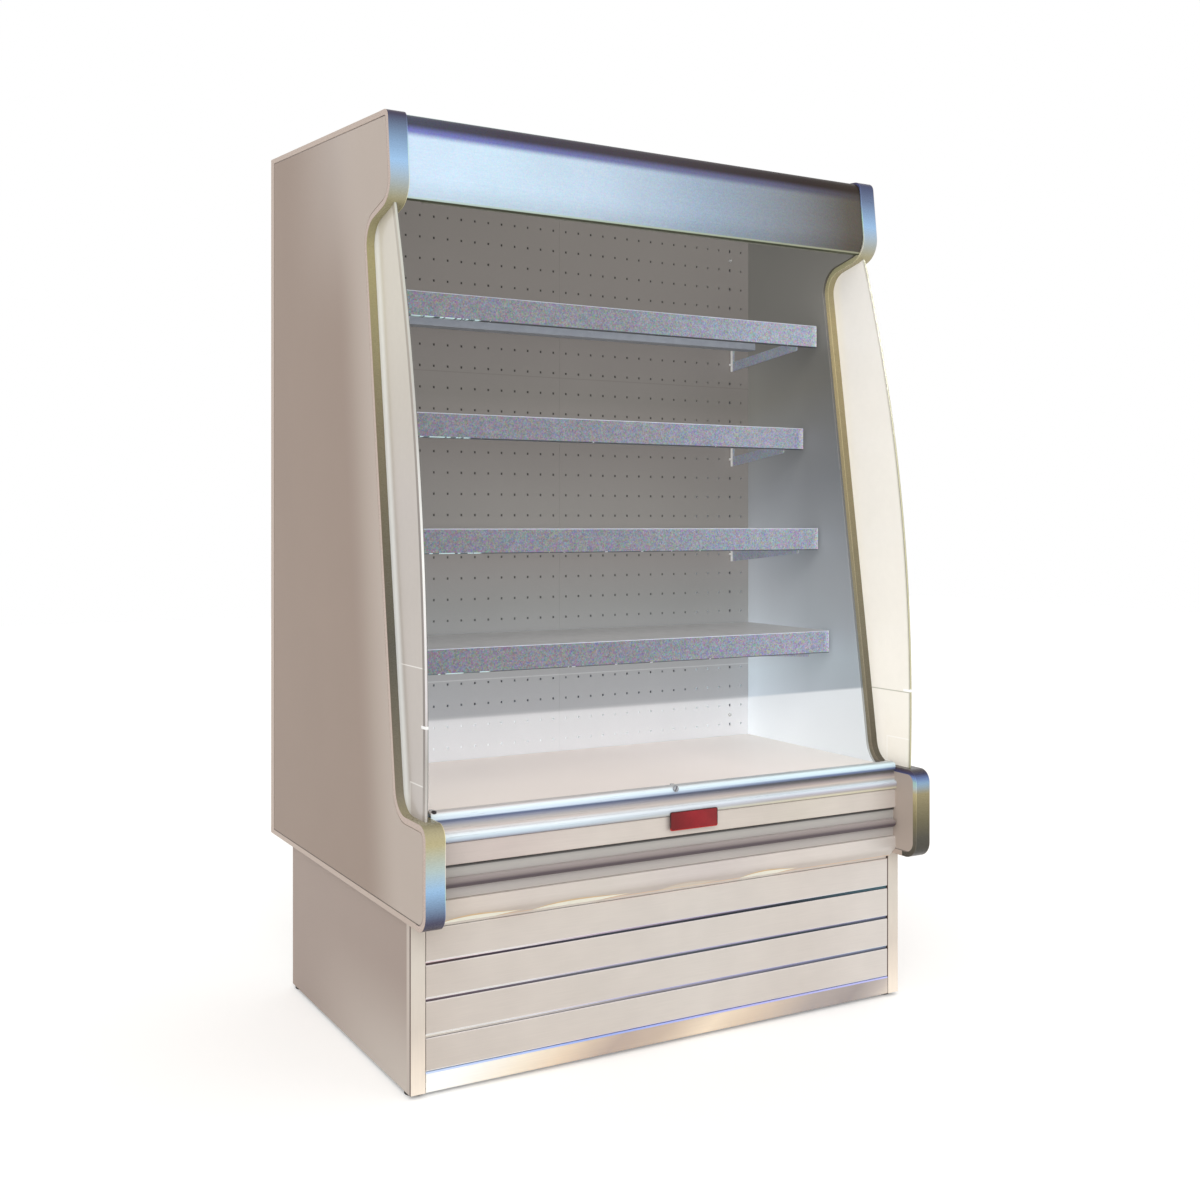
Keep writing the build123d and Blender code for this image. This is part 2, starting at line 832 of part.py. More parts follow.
def ceiling_duct_panel():
    """Sheet ceiling that leads the air from the rear duct to the grille."""
    start = grille_front_y() + grille_depth
    low_z = grille_bottom_z + grille_height / 2
    path = [
        (start, low_z + grille_height, 0), (start, low_z, sheet_bend),
        (duct_front_y - ceiling_rear_land, duct_top_z, sheet_bend),
        (duct_front_y + duct_sheet, duct_top_z, 0),
    ]
    half = interior_x - duct_side_clearance
    return across(strip(path, ceiling_sheet), -half, half)


def light_place():
    """Front and lower edge of the canopy light, which stands on the fascia's lip."""
    return fascia_lip_y() + light_lip_gap, fascia_bottom_z + fascia_sheet


def light_housing():
    """Aluminium housing of the canopy light."""
    y, z = light_place()
    half = interior_x - light_end_gap
    low = z + diffuser_height
    section = outline([
        (y, low, 0), (y + light_depth, low, 0),
        (y + light_depth, low + light_height / 2, light_side_round),
        (y + light_depth / 2, low + light_height, light_top_round),
        (y, low + light_height, light_side_round),
    ])
    return across(section, -half, half)


def light_diffuser():
    """Opal strip under the housing."""
    y, z = light_place()
    half = interior_x - light_end_gap
    section = outline([
        (y, z, 1), (y + light_depth, z, light_side_round), (y + light_depth, z + diffuser_height, 0),
        (y, z + diffuser_height, 0),
    ])
    return across(section, -half, half)


# ======== front ========

def front_nosing():
    """Hollow cap along the deck's front, with a cove and a bead."""
    nose_y = apron_y - nosing_nose_proud
    bead_y = apron_y - bead_proud
    face_y = apron_y + flat_depth
    crown_y = nosing_rear_y - nosing_crown_depth
    seat_z = tub_front_top_z + tub_seat_gap
    section = outline([
        (nosing_rear_y, seat_z, 0), (nosing_rear_y, nosing_top_z - nosing_rear_drop, 3),
        (crown_y, nosing_top_z, nosing_crown_round),
        (nose_y, nosing_top_z - nosing_front_drop, nosing_front_round),
        (nose_y, nosing_top_z - nosing_nose_height, 1.2),
        (apron_y + cove_depth, nosing_top_z - cove_drop, cove_round),
        (face_y, nosing_top_z - flat_drop, 3), (face_y, nosing_top_z - bead_drop, 0.5),
        (bead_y, nosing_top_z - bead_drop, bead_round), (bead_y, nosing_bottom_z, bead_round),
        (face_y, nosing_bottom_z, 0), (tub_front_y, nosing_bottom_z, 0), (tub_front_y, seat_z, 0),
    ])
    inner_rear = nosing_rear_y - nosing_wall
    hollow = outline([
        (inner_rear, seat_z + nosing_wall, 2),
        (inner_rear, nosing_top_z - nosing_rear_drop - nosing_wall / 2, 2),
        (crown_y, nosing_top_z - nosing_wall, 3),
        (nose_y + nosing_wall, nosing_top_z - nosing_front_drop - nosing_wall, 3),
        (apron_y + cove_depth + nosing_wall, nosing_top_z - nosing_nose_height - nosing_wall, 2),
        (tub_front_y + 2, seat_z + nosing_wall, 1),
    ])
    cap = across(section - hollow, -end_inner_x, end_inner_x)
    radius = screw_shank_radius + screw_hole_clearance
    head = screw_head_radius + screw_hole_clearance
    for x in nosing_screw_xs:
        cap -= rod_z(x, nosing_screw_y, radius, nosing_top_z - nosing_screw_length - 4, nosing_top_z + 4)
        cap -= rod_z(x, nosing_screw_y, head, nosing_top_z - screw_head_height, nosing_top_z + 4)
    return cap


def front_apron():
    """Upper apron panel, which carries the badge."""
    path = [
        (tub_front_y, apron_top_z, 0), (apron_y, apron_top_z, sheet_bend),
        (apron_y, apron_bottom_z, sheet_bend), (tub_front_y, apron_bottom_z, 0),
    ]
    return across(strip(path, apron_sheet), -end_inner_x, end_inner_x)


def bumper_channel():
    """Set-back strip behind the bumper rail, with a small lip along its top."""
    face_y = tub_front_y - channel_thickness
    lip_y = face_y - channel_lip_depth
    section = outline([
        (tub_front_y, channel_bottom_z, 0), (tub_front_y, channel_top_z, 0), (lip_y, channel_top_z, 1),
        (lip_y, channel_top_z - channel_lip_height, 0.8),
        (face_y, channel_top_z - channel_lip_height - 1, 0), (face_y, channel_bottom_z, 0),
    ])
    return across(section, -end_inner_x, end_inner_x)


def bumper_rail():
    """Half-round trolley bumper with rounded ends."""
    back = tub_front_y - channel_thickness
    top = rail_bottom_z + rail_height
    section = outline([
        (back, rail_bottom_z, 0), (back, top, 0), (back - rail_depth, top, rail_round),
        (back - rail_depth, rail_bottom_z, rail_round),
    ])
    length = 2 * (end_inner_x - rail_end_gap)
    bar = across(section, -length / 2, length / 2)
    face = RectangleRounded(length, rail_height, rail_height / 2 - 0.5)
    return bar & deep(Pos(0, rail_bottom_z + rail_height / 2) * face, back - rail_depth - 1, back)


def lower_apron():
    """Lower apron that curves in over the base."""
    foot_y = base_front_y - lower_apron_foot_gap
    path = [
        (tub_front_y, lower_apron_top_z, 0), (apron_y, lower_apron_top_z, sheet_bend),
        (apron_y - lower_apron_lean, lower_apron_top_z - lower_apron_flat, lower_apron_round),
        (foot_y, lower_apron_bottom_z, lower_apron_foot_round),
        (foot_y + lower_apron_return, lower_apron_bottom_z, 0),
    ]
    return across(strip(path, apron_sheet), -end_inner_x, end_inner_x)


def badge_plate():
    """Plain badge, standing off the apron on two bosses so that it clears the bead."""
    face = Pos(badge_centre_x, badge_centre_z) * RectangleRounded(badge_width, badge_height, badge_corner)
    back = apron_y - badge_standoff
    plate = deep(face, back - badge_thickness, back)
    boss_z = badge_centre_z - badge_height / 4
    bosses = [
        rod_y(badge_centre_x + side * badge_width / 3, boss_z, badge_boss_radius, back - 0.5, apron_y)
        for side in (-1, 1)
    ]
    return plate + bosses


# ======== deck ========

def deck_front_y():
    """Front edge of the deck pan."""
    return nosing_rear_y + deck_clearance


def deck_pan():
    """Lift-out deck with turned-down rims and a row of return-air slots."""
    half = interior_x - deck_clearance
    front = deck_front_y()
    rear = duct_front_y - screw_head_height - deck_screw_clearance
    shell = block((-half, half), (front, rear), (tub_front_top_z, deck_top_z))
    hollow = block((-half + deck_sheet, half - deck_sheet), (front + deck_sheet, rear - deck_sheet),
                   (tub_front_top_z - 1, deck_top_z - deck_sheet))
    slot_y = front + deck_slot_setback
    first = -deck_slot_pitch * (deck_slot_count - 1) / 2
    slots = [
        Pos(first + deck_slot_pitch * i, slot_y) * SlotOverall(deck_slot_length, deck_slot_width)
        for i in range(deck_slot_count)
    ]
    cutters = [extrude(Pos(0, 0, deck_top_z - 5) * slot, amount=10) for slot in slots]
    return shell - hollow - cutters


# ======== base ========

def base_frame():
    """Welded bar frame with a floor plate, and the threaded seats of the feet."""
    half = base_half_width - base_sheet
    y = (base_front_y + kick_return, base_back_y - base_sheet)
    low = (frame_bottom_z, frame_bottom_z + frame_bar)
    high = (base_top_z - frame_bar, base_top_z)
    bars = []
    for z in (low, high):
        bars.append(block((-half, half), (y[0], y[0] + frame_bar), z))
        bars.append(block((-half, half), (y[1] - frame_bar, y[1]), z))
        bars.append(block((-half, -half + frame_bar), y, z))
        bars.append(block((half - frame_bar, half), y, z))
    for x in ((-half, -half + frame_bar), (half - frame_bar, half)):
        for depth in ((y[0], y[0] + frame_bar), (y[1] - frame_bar, y[1])):
            bars.append(block(x, depth, (low[0], high[1])))
    bars.append(block((-half, half), y, (low[1], low[1] + floor_plate)))
    frame = bars[0]
    for bar in bars[1:]:
        frame += bar
    hole_top = frame_bottom_z + stud_length + stud_hole_rise
    for x, foot_y in foot_places():
        frame -= rod_z(x, foot_y, stud_radius + running_clearance, frame_bottom_z - 1, hole_top)
    return frame


def foot_places():
    """Left front, right front, left rear and right rear."""
    return [(x, y) for y in (foot_front_y, foot_back_y) for x in (-foot_x, foot_x)]


def levelling_foot(place):
    """Pad, hexagon and stud in one, screwed fully in."""
    x, y = place
    pad = rod_z(x, y, foot_radius, 0, foot_pad_height)
    hexagon = extrude(Pos(x, y, foot_pad_height) * RegularPolygon(foot_hex_radius, 6),
                      amount=frame_bottom_z - foot_pad_height)
    stud = rod_z(x, y, stud_radius, frame_bottom_z - 1, frame_bottom_z + stud_length)
    pad = fillet(pad.edges().group_by(Axis.Z)[-1], foot_pad_round)
    return pad + hexagon + stud


def left_base_panel():
    """Painted side of the base."""
    x = (-base_half_width, -base_half_width + base_sheet)
    return block(x, (base_front_y + post_return, base_back_y), (base_bottom_z, base_top_z))


def right_corner_post():
    """Folded front corner post."""
    path = [
        (end_inner_x, base_front_y + post_return, 0), (end_inner_x, base_front_y, sheet_bend),
        (base_half_width, base_front_y, sheet_bend), (base_half_width, base_front_y + post_return, 0),
    ]
    section = strip(path, base_sheet)
    return extrude(Pos(0, 0, base_bottom_z) * section, amount=base_top_z - base_bottom_z, dir=(0, 0, 1))


def front_corner_posts():
    """Both corner posts."""
    post = right_corner_post()
    return group([mirrored(post), post])


def louvre_panel():
    """Lift-off front grille: four louvres on three stiles."""
    half = end_inner_x - louvre_side_gap
    face_height = louvre_pitch - louvre_gap
    slats = []
    for i in range(louvre_count):
        low = louvre_bottom_z + i * louvre_pitch
        path = [
            (base_front_y + louvre_lip, low + face_height - louvre_lip_rise, 0),
            (base_front_y, low + face_height, sheet_bend), (base_front_y, low, sheet_bend),
            (base_front_y + louvre_lip, low + louvre_lip_rise, 0),
        ]
        slats.append(across(strip(path, louvre_sheet), -half, half))
    top = louvre_bottom_z + louvre_count * louvre_pitch - louvre_gap
    stile_y = base_front_y + louvre_lip - stile_lap
    stiles = [
        block((x, x + stile_width), (stile_y, stile_y + stile_depth), (louvre_bottom_z + 1, top - 1))
        for x in (-half, -stile_width / 2, half - stile_width)
    ]
    panel = slats[0]
    for piece in slats[1:] + stiles:
        panel += piece
    return panel


def kick_plate():
    """Plinth strip under the grille."""
    half = end_inner_x - louvre_side_gap
    path = [
        (base_front_y + kick_return, kick_top_z, 0), (base_front_y, kick_top_z, sheet_bend),
        (base_front_y, base_bottom_z, sheet_bend), (base_front_y + kick_foot_return, base_bottom_z, 0),
    ]
    return across(strip(path, base_sheet), -half, half)


def rear_base_panel():
    """Rear panel of the base with its vents."""
    half = base_half_width - base_sheet
    centre_z = (base_bottom_z + base_top_z) / 2
    step_x = 2 * half / rear_vent_columns
    vents = [
        (-half + step_x * (column + 0.5), centre_z + rear_vent_pitch * (row - (rear_vent_rows - 1) / 2),
         rear_vent_width, rear_vent_height)
        for column in range(rear_vent_columns) for row in range(rear_vent_rows)
    ]
    face = holed_face(2 * half, base_top_z - base_bottom_z, (0, centre_z), vents)
    return deep(face, base_back_y - base_sheet, base_back_y)


# ======== condensing unit ========

def floor_z():
    """Top of the base's floor plate."""
    return frame_bottom_z + frame_bar + floor_plate


def finned_block(width, height, depth, pitch):
    """Coil block with grooves between its fins, front and back, one end at the origin."""
    count = int(width / pitch)
    block_core = Pos(width / 2, depth / 2, height / 2) * Box(width, depth, height)
    groove = pitch - fin_thickness
    first = (width - count * pitch) / 2 + fin_thickness / 2
    cutters = []
    for i in range(count):
        x = (first + i * pitch, first + i * pitch + groove)
        cutters.append(block(x, (-1, fin_depth), (fin_depth, height - fin_depth)))
        cutters.append(block(x, (depth - fin_depth, depth + 1), (fin_depth, height - fin_depth)))
    return block_core - cutters


def condenser_coil():
    """Condenser behind the grille."""
    coil = finned_block(condenser_width, condenser_height, condenser_depth, condenser_fin_pitch)
    return Pos(condenser_x - condenser_width / 2, condenser_front_y, floor_z()) * coil


def condenser_middle_z():
    """Height of the condenser's middle and of its fan."""
    return floor_z() + condenser_height / 2


def shroud_rear_y():
    """Rear face of the fan shroud."""
    return condenser_front_y + condenser_depth + shroud_depth


def condenser_fan_shroud():
    """Box behind the condenser with the fan's round opening."""
    x = (condenser_x - condenser_width / 2, condenser_x + condenser_width / 2)
    y = (condenser_front_y + condenser_depth, shroud_rear_y())
    z = (floor_z(), floor_z() + condenser_height)
    shell = block(x, y, z)
    hollow = block((x[0] + shroud_sheet, x[1] - shroud_sheet), (y[0] - 1, y[1] - shroud_sheet),
                   (z[0] + shroud_sheet, z[1] - shroud_sheet))
    mouth_radius = condenser_fan_radius + condenser_mouth_clearance
    mouth = rod_y(condenser_x, condenser_middle_z(), mouth_radius, y[0], y[1] + 1)
    return shell - hollow - mouth


def bladed_wheel(hub_radius, tip_radius, depth, chord):
    """Axial fan wheel along Y, centred at the origin, with a bore for its shaft."""
    wheel = Rot(90, 0, 0) * Cylinder(hub_radius, depth)
    length = tip_radius - hub_radius + 4
    middle = tip_radius - length / 2
    for i in range(blade_count):
        blade = Pos(middle, 0, 0) * Rot(blade_pitch, 0, 0) * Box(length, blade_thickness, chord)
        wheel += Rot(0, 360 / blade_count * i, 0) * blade
    bore = Rot(90, 0, 0) * Cylinder(shaft_radius + shaft_clearance, depth + 2)
    return wheel - bore


def fan_motor(bar_y, bar_length, radius, length, shaft_front_y, plate_y):
    """Motor on a bar that is fixed to a plate in front, along Y at x = z = 0."""
    half = bar_length / 2
    bar = block((-fan_bar_width / 2, fan_bar_width / 2), (bar_y, bar_y + fan_bar_sheet), (-half, half))
    for side in (-1, 1):
        ends = sorted((side * half, side * (half - fan_bar_sheet)))
        bar += block((-fan_bar_width / 2, fan_bar_width / 2), (plate_y, bar_y + fan_bar_sheet), ends)
    body = rod_y(0, 0, radius, bar_y + fan_bar_sheet - 0.5, bar_y + fan_bar_sheet + length)
    body = fillet(body.edges().filter_by(GeomType.CIRCLE).sort_by(Axis.Y)[-1], motor_round)
    shaft = rod_y(0, 0, shaft_radius, shaft_front_y, bar_y + 1)
    return bar + body + shaft


def condenser_fan_y():
    """Middle of the condenser fan, inside the shroud's opening."""
    return shroud_rear_y() - condenser_fan_depth / 2


def condenser_fan():
    """Condenser fan wheel."""
    wheel = bladed_wheel(condenser_hub_radius, condenser_fan_radius, condenser_fan_depth,
                         condenser_blade_chord)
    return Pos(condenser_x, condenser_fan_y(), condenser_middle_z()) * wheel


def condenser_fan_motor():
    """Motor of the condenser fan, on its bar across the opening."""
    rear = shroud_rear_y()
    span = 2 * (condenser_fan_radius + condenser_bar_lap)
    shaft_front = condenser_fan_y() - condenser_fan_depth / 2 - shaft_proud
    motor = fan_motor(rear + fan_bar_gap, span, condenser_motor_radius, condenser_motor_length,
                      shaft_front, rear)
    return Pos(condenser_x, 0, condenser_middle_z()) * motor


def compressor():
    """Hermetic compressor on its plate and four grommets."""
    low = floor_z() + grommet_height
    can = rod_z(compressor_x, compressor_y, compressor_radius, low + compressor_plate,
                low + compressor_plate + compressor_height)
    can = fillet(can.edges().group_by(Axis.Z)[-1], compressor_crown_round)
    can = fillet(can.edges().group_by(Axis.Z)[0], compressor_base_round)
    reach = compressor_radius + compressor_plate_reach
    half_depth = compressor_plate_depth / 2
    plate = block((compressor_x - reach, compressor_x + reach),
                  (compressor_y - half_depth, compressor_y + half_depth), (low, low + compressor_plate + 1))
    can_rear = compressor_y + compressor_radius
    lid = block((compressor_x - terminal_width / 2, compressor_x + terminal_width / 2),
                (can_rear - terminal_depth, can_rear + terminal_depth),
                (low + terminal_bottom, low + terminal_bottom + terminal_height))
    unit = can + plate + lid
    grommet_x = reach - grommet_inset
    grommet_y = half_depth - grommet_inset
    for x in (compressor_x - grommet_x, compressor_x + grommet_x):
        for y in (compressor_y - grommet_y, compressor_y + grommet_y):
            unit += rod_z(x, y, grommet_radius, floor_z(), low + 0.5)
    return unit


def drain_tray():
    """Condensate tray under the drain spout."""
    x = (-tray_length / 2, tray_length / 2)
    y = (tray_y - tray_width / 2, tray_y + tray_width / 2)
    z = (floor_z(), floor_z() + tray_height)
    hollow = block((x[0] + tray_sheet, x[1] - tray_sheet), (y[0] + tray_sheet, y[1] - tray_sheet),
                   (z[0] + tray_sheet, z[1] + 1))
    return block(x, y, z) - hollow


def control_front_y():
    """Front of the electrical box, just behind the grille."""
    return base_front_y + kick_return + control_gap


def rocker_place():
    """Middle of the power switch."""
    x = base_half_width - base_sheet - frame_bar - control_width / 2
    return x, control_front_y() + 1, control_bottom_z + rocker_from_bottom


def control_box():
    """Electrical box on the right front upright, with the switch's pocket and a cable gland."""
    right = base_half_width - base_sheet - frame_bar
    front = control_front_y()
    case = block((right - control_width, right), (front, front + control_depth),
                 (control_bottom_z, control_bottom_z + control_height))
    x, y, z = rocker_place()
    side = rocker_width / 2 + rocker_side_gap
    rise = rocker_length / 2 + rocker_end_gap
    case -= block((x - side, x + side), (front - 1, y + rocker_pocket_depth), (z - rise, z + rise))
    pin_end = side + rocker_pin_reach + rocker_side_gap
    case -= rod_x(y, z, rocker_pin_radius + shaft_clearance, x - pin_end, x + pin_end)
    gland_y = front + control_depth / 2
    case += rod_z(x, gland_y, gland_radius, control_bottom_z - gland_length, control_bottom_z + 1)
    case -= rod_z(x, gland_y, gland_bore, control_bottom_z - gland_length - 1, control_bottom_z + 4)
    return case


def power_switch():
    """Rocker of the power switch, at its off tilt, with its pin."""
    x, y, z = rocker_place()
    rocker = Box(rocker_width, rocker_thickness, rocker_length)
    rocker = fillet(rocker.edges().filter_by(Axis.X), 1.2)
    tilted = Pos(x, y, z) * Rot(rocker_tilt, 0, 0) * rocker
    pin_end = rocker_width / 2 + rocker_side_gap + rocker_pin_reach
    return tilted + rod_x(y, z, rocker_pin_radius, x - pin_end, x + pin_end)


def pipe(points, radius):
    """Round pipe along straight runs and bends."""
    route = FilletPolyline(*points, radius=pipe_bend)
    start = Plane(origin=route @ 0, z_dir=route % 0)
    return sweep(start * Circle(radius), path=route)


def refrigerant_lines():
    """Discharge, liquid and suction lines, with the filter drier on the liquid line."""
    body_z = floor_z() + grommet_height + compressor_height / 2
    coil_end = coil_right_x + 0.5
    suction_coil_z = tub_floor_z + suction_coil_height
    liquid_coil_z = tub_floor_z + liquid_coil_height
    suction = pipe([
        (compressor_x + compressor_radius, compressor_y, body_z), (suction_x, compressor_y, body_z),
        (suction_x, compressor_y, suction_run_z), (suction_x, riser_y, suction_run_z),
        (suction_x, riser_y, suction_coil_z), (coil_end, riser_y, suction_coil_z),
    ], suction_radius)
    condenser_right = condenser_x + condenser_width / 2
    coil_y = condenser_front_y + condenser_depth / 2
    discharge = pipe([
        (compressor_x, compressor_y - compressor_radius, body_z), (compressor_x, coil_y, body_z),
        (condenser_right, coil_y, body_z),
    ], liquid_radius)
    drier_x = condenser_right + drier_gap
    liquid = pipe([
        (condenser_right, coil_y, liquid_run_z), (drier_x, coil_y, liquid_run_z),
        (drier_x, riser_y, liquid_run_z), (liquid_x, riser_y, liquid_run_z),
        (liquid_x, riser_y, liquid_coil_z), (coil_end, riser_y, liquid_coil_z),
    ], liquid_radius)
    drier = rod_y(drier_x, liquid_run_z, drier_radius, drier_front_y, drier_front_y + drier_length)
    drier = fillet(drier.edges(), drier_round)
    return group([suction, discharge, liquid + drier])


# ======== evaporator ========

def evaporator_coil():
    """Evaporator in the rear duct, standing on the tub floor."""
    width = coil_right_x - coil_left_x
    coil = finned_block(width, coil_height, coil_depth, coil_fin_pitch)
    return Pos(coil_left_x, coil_front_y, tub_floor_z) * coil


def evaporator_fan_plate():
    """Plate under the deck with the two fan mouths and a flange that carries the deck."""
    half = interior_x - 2 * deck_clearance - deck_sheet
    top = deck_top_z - deck_sheet
    plate = block((-half, half), (fan_plate_y, fan_plate_y + fan_plate_sheet), (tub_floor_z, top))
    plate += block((-half, half), (fan_plate_y, fan_plate_y + fan_plate_flange), (top - fan_plate_sheet, top))
    for x in (-fan_x, fan_x):
        plate -= rod_y(x, fan_z, fan_radius + fan_tip_clearance, fan_plate_y - 1,
                       fan_plate_y + fan_plate_sheet + 1)
    return plate


def evaporator_fan(x):
    """Evaporator fan wheel in its mouth."""
    wheel = bladed_wheel(fan_hub_radius, fan_radius, fan_depth, evaporator_blade_chord)
    return Pos(x, fan_plate_y, fan_z) * wheel


def evaporator_fan_motors():
    """The two motors on their bars."""
    span = 2 * (fan_radius + fan_tip_clearance + fan_bar_lap)
    plate_rear = fan_plate_y + fan_plate_sheet
    motors = []
    for x in (-fan_x, fan_x):
        motor = fan_motor(plate_rear + fan_bar_gap, span, motor_radius, motor_length,
                          fan_plate_y - fan_depth / 2 - shaft_proud, plate_rear)
        motors.append(Pos(x, 0, fan_z) * motor)
    return group(motors)


# ======== screws ========

def screw(length):
    """Pan-head screw pointing down, its head's seat at the origin."""
    head = Pos(0, 0, screw_head_height / 2) * Cylinder(screw_head_radius, screw_head_height)
    head = fillet(head.edges().group_by(Axis.Z)[-1], screw_head_round)
    return head + Pos(0, 0, -length / 2 + 0.25) * Cylinder(screw_shank_radius, length + 0.5)


def cabinet_screws():
    """Screws of the nosing and of the rear panels."""
    pieces = []
    for x in nosing_screw_xs:
        seat = Pos(x, nosing_screw_y, nosing_top_z - screw_head_height)
        pieces.append(seat * screw(nosing_screw_length))
    for x, z in duct_screw_places():
        for side in (-1, 1):
            seat = Pos(side * x, duct_front_y, z) * Rot(90, 0, 0)
            pieces.append(seat * screw(duct_sheet + upright_sheet))
    return group(pieces)


def build_parts():
    """Every node's name and shape."""
    parts = {
        "left_end_panel": left_end_panel(),
        "left_end_trim": left_end_trim(),
        "left_wing_pane": left_wing_pane(),
        "left_inner_liner": left_inner_liner(),
        "left_base_panel": left_base_panel(),
        "right_duct_panel": right_duct_panel(),
    }
    for name in list(parts):
        other = name.replace("left", "right") if "left" in name else name.replace("right", "left")
        parts[other] = mirrored(parts[name])
    parts.update({
        "insulated_floor_tub": insulated_floor_tub(),
        "insulated_back_wall": insulated_back_wall(),
        "insulated_roof": insulated_roof(),
        "shelf_uprights": shelf_uprights(),
        "canopy_fascia": canopy_fascia(),
        "discharge_grille": discharge_grille(),
        "ceiling_duct_panel": ceiling_duct_panel(),
        "light_housing": light_housing(),
        "light_diffuser": light_diffuser(),
        "front_nosing": front_nosing(),
        "front_apron": front_apron(),
        "bumper_channel": bumper_channel(),
        "bumper_rail": bumper_rail(),
        "lower_apron": lower_apron(),
        "badge_plate": badge_plate(),
        "deck_pan": deck_pan(),
        "base_frame": base_frame(),
        "front_corner_posts": front_corner_posts(),
        "louvre_panel": louvre_panel(),
        "kick_plate": kick_plate(),
        "rear_base_panel": rear_base_panel(),
        "condenser_coil": condenser_coil(),
        "condenser_fan_shroud": condenser_fan_shroud(),
        "condenser_fan": condenser_fan(),
        "condenser_fan_motor": condenser_fan_motor(),
        "compressor": compressor(),
        "drain_tray": drain_tray(),
        "control_box": control_box(),
        "power_switch": power_switch(),
        "refrigerant_lines": refrigerant_lines(),
        "evaporator_coil": evaporator_coil(),
        "evaporator_fan_plate": evaporator_fan_plate(),
        "evaporator_fan_left": evaporator_fan(-fan_x),
        "evaporator_fan_right": evaporator_fan(fan_x),
        "evaporator_fan_motors": evaporator_fan_motors(),
        "cabinet_screws": cabinet_screws(),
    })
    for index, name in enumerate(shelf_names):
        parts[name + "_tray"] = shelf_tray(index)
        parts[name + "_brackets"] = shelf_brackets(index)
    foot_names = ("foot_front_left", "foot_front_right", "foot_rear_left", "foot_rear_right")
    for name, place in zip(foot_names, foot_places()):
        parts[name] = levelling_foot(place)
    return parts


os.makedirs("parts", exist_ok=True)
for node, shape in build_parts().items():
    export_step(shape, "parts/" + node + ".step")
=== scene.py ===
import bpy
import bmesh
import math
from mathutils import Matrix, Vector


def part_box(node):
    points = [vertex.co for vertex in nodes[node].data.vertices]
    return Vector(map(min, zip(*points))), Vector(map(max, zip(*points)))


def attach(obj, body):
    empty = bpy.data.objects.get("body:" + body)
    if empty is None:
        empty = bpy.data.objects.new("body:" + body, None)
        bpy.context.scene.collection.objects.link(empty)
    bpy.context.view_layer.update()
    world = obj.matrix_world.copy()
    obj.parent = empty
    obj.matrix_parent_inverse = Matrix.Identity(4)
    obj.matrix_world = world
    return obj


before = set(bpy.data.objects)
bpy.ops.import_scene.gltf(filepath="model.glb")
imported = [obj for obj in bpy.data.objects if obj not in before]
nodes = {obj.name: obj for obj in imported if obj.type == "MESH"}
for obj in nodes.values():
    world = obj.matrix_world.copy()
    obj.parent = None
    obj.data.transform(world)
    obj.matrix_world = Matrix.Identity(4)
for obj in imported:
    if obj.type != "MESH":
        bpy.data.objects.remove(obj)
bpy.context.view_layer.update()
mm = 0.001
print("frame loaded:", len(nodes), "nodes")

# colour and shader helpers: places are in millimetres, a share runs from 0 to 1


def linear(code):  # "D6CDC7" as linear red, green and blue
    channels = [int(code[i:i + 2], 16) / 255 for i in (0, 2, 4)]
    return [c / 12.92 if c <= 0.04045 else ((c + 0.055) / 1.055) ** 2.4 for c in channels]


def tone(code, level=1.0):  # a colour code at a share of its brightness
    return [channel * level for channel in linear(code)] + [1]


def addNode(finish, kind):
    return finish.node_tree.nodes.new("ShaderNode" + kind)


def join(finish, output, socket):
    finish.node_tree.links.new(output, socket)


def solid(finish, code):
    node = addNode(finish, "RGB")
    node.outputs[0].default_value = tone(code)
    return node.outputs[0]


def ramp(finish, value, stops, level=1.0):  # stops are (place, colour code), lowest first
    low, high = stops[0][0] * mm, stops[-1][0] * mm
    spread = addNode(finish, "MapRange")
    spread.inputs["From Min"].default_value = low
    spread.inputs["From Max"].default_value = high
    join(finish, value, spread.inputs["Value"])
    band = addNode(finish, "ValToRGB")
    elements = band.color_ramp.elements
    elements.remove(elements[-1])
    elements[0].position = 0
    elements[0].color = tone(stops[0][1], level)
    for distance, code in stops[1:]:
        element = elements.new((distance * mm - low) / (high - low))
        element.color = tone(code, level)
    join(finish, spread.outputs[0], band.inputs[0])
    return band.outputs["Color"]


def fade(finish, value, start, end):  # a share that is 0 at start and 1 at end
    node = addNode(finish, "MapRange")
    node.interpolation_type = "SMOOTHSTEP"
    node.inputs["From Min"].default_value = start * mm
    node.inputs["From Max"].default_value = end * mm
    join(finish, value, node.inputs["Value"])
    return node.outputs[0]


def maths(finish, operation, first, second=0.0):
    node = addNode(finish, "Math")
    node.operation = operation
    for socket, value in zip(node.inputs, (first, second)):
        if isinstance(value, (int, float)):
            socket.default_value = value
        else:
            join(finish, value, socket)
    return node.outputs[0]


def combined(finish, operation, shares):
    total = shares[0]
    for share in shares[1:]:
        total = maths(finish, operation, total, share)
    return total


def most(finish, *shares):
    return combined(finish, "MAXIMUM", shares)


def both(finish, *shares):
    return combined(finish, "MULTIPLY", shares)


def restOf(finish, share):
    return maths(finish, "SUBTRACT", 1.0, share)


def within(finish, value, low, high, soft=0.3):  # 1 between two places
    rise = fade(finish, value, low - soft, low + soft)
    fall = fade(finish, value, high + soft, high - soft)
    return both(finish, rise, fall)


def leaning(finish, first, second, slope):  # first + second * slope
    node = maths(finish, "MULTIPLY_ADD", second, slope).node
    join(finish, first, node.inputs[2])
    return node.outputs[0]


def repeating(finish, height, first, pitch):  # how far a height lies above the last of evenly spaced places
    above = maths(finish, "SUBTRACT", height, first * mm)
    return maths(finish, "FLOORED_MODULO", above, pitch * mm)


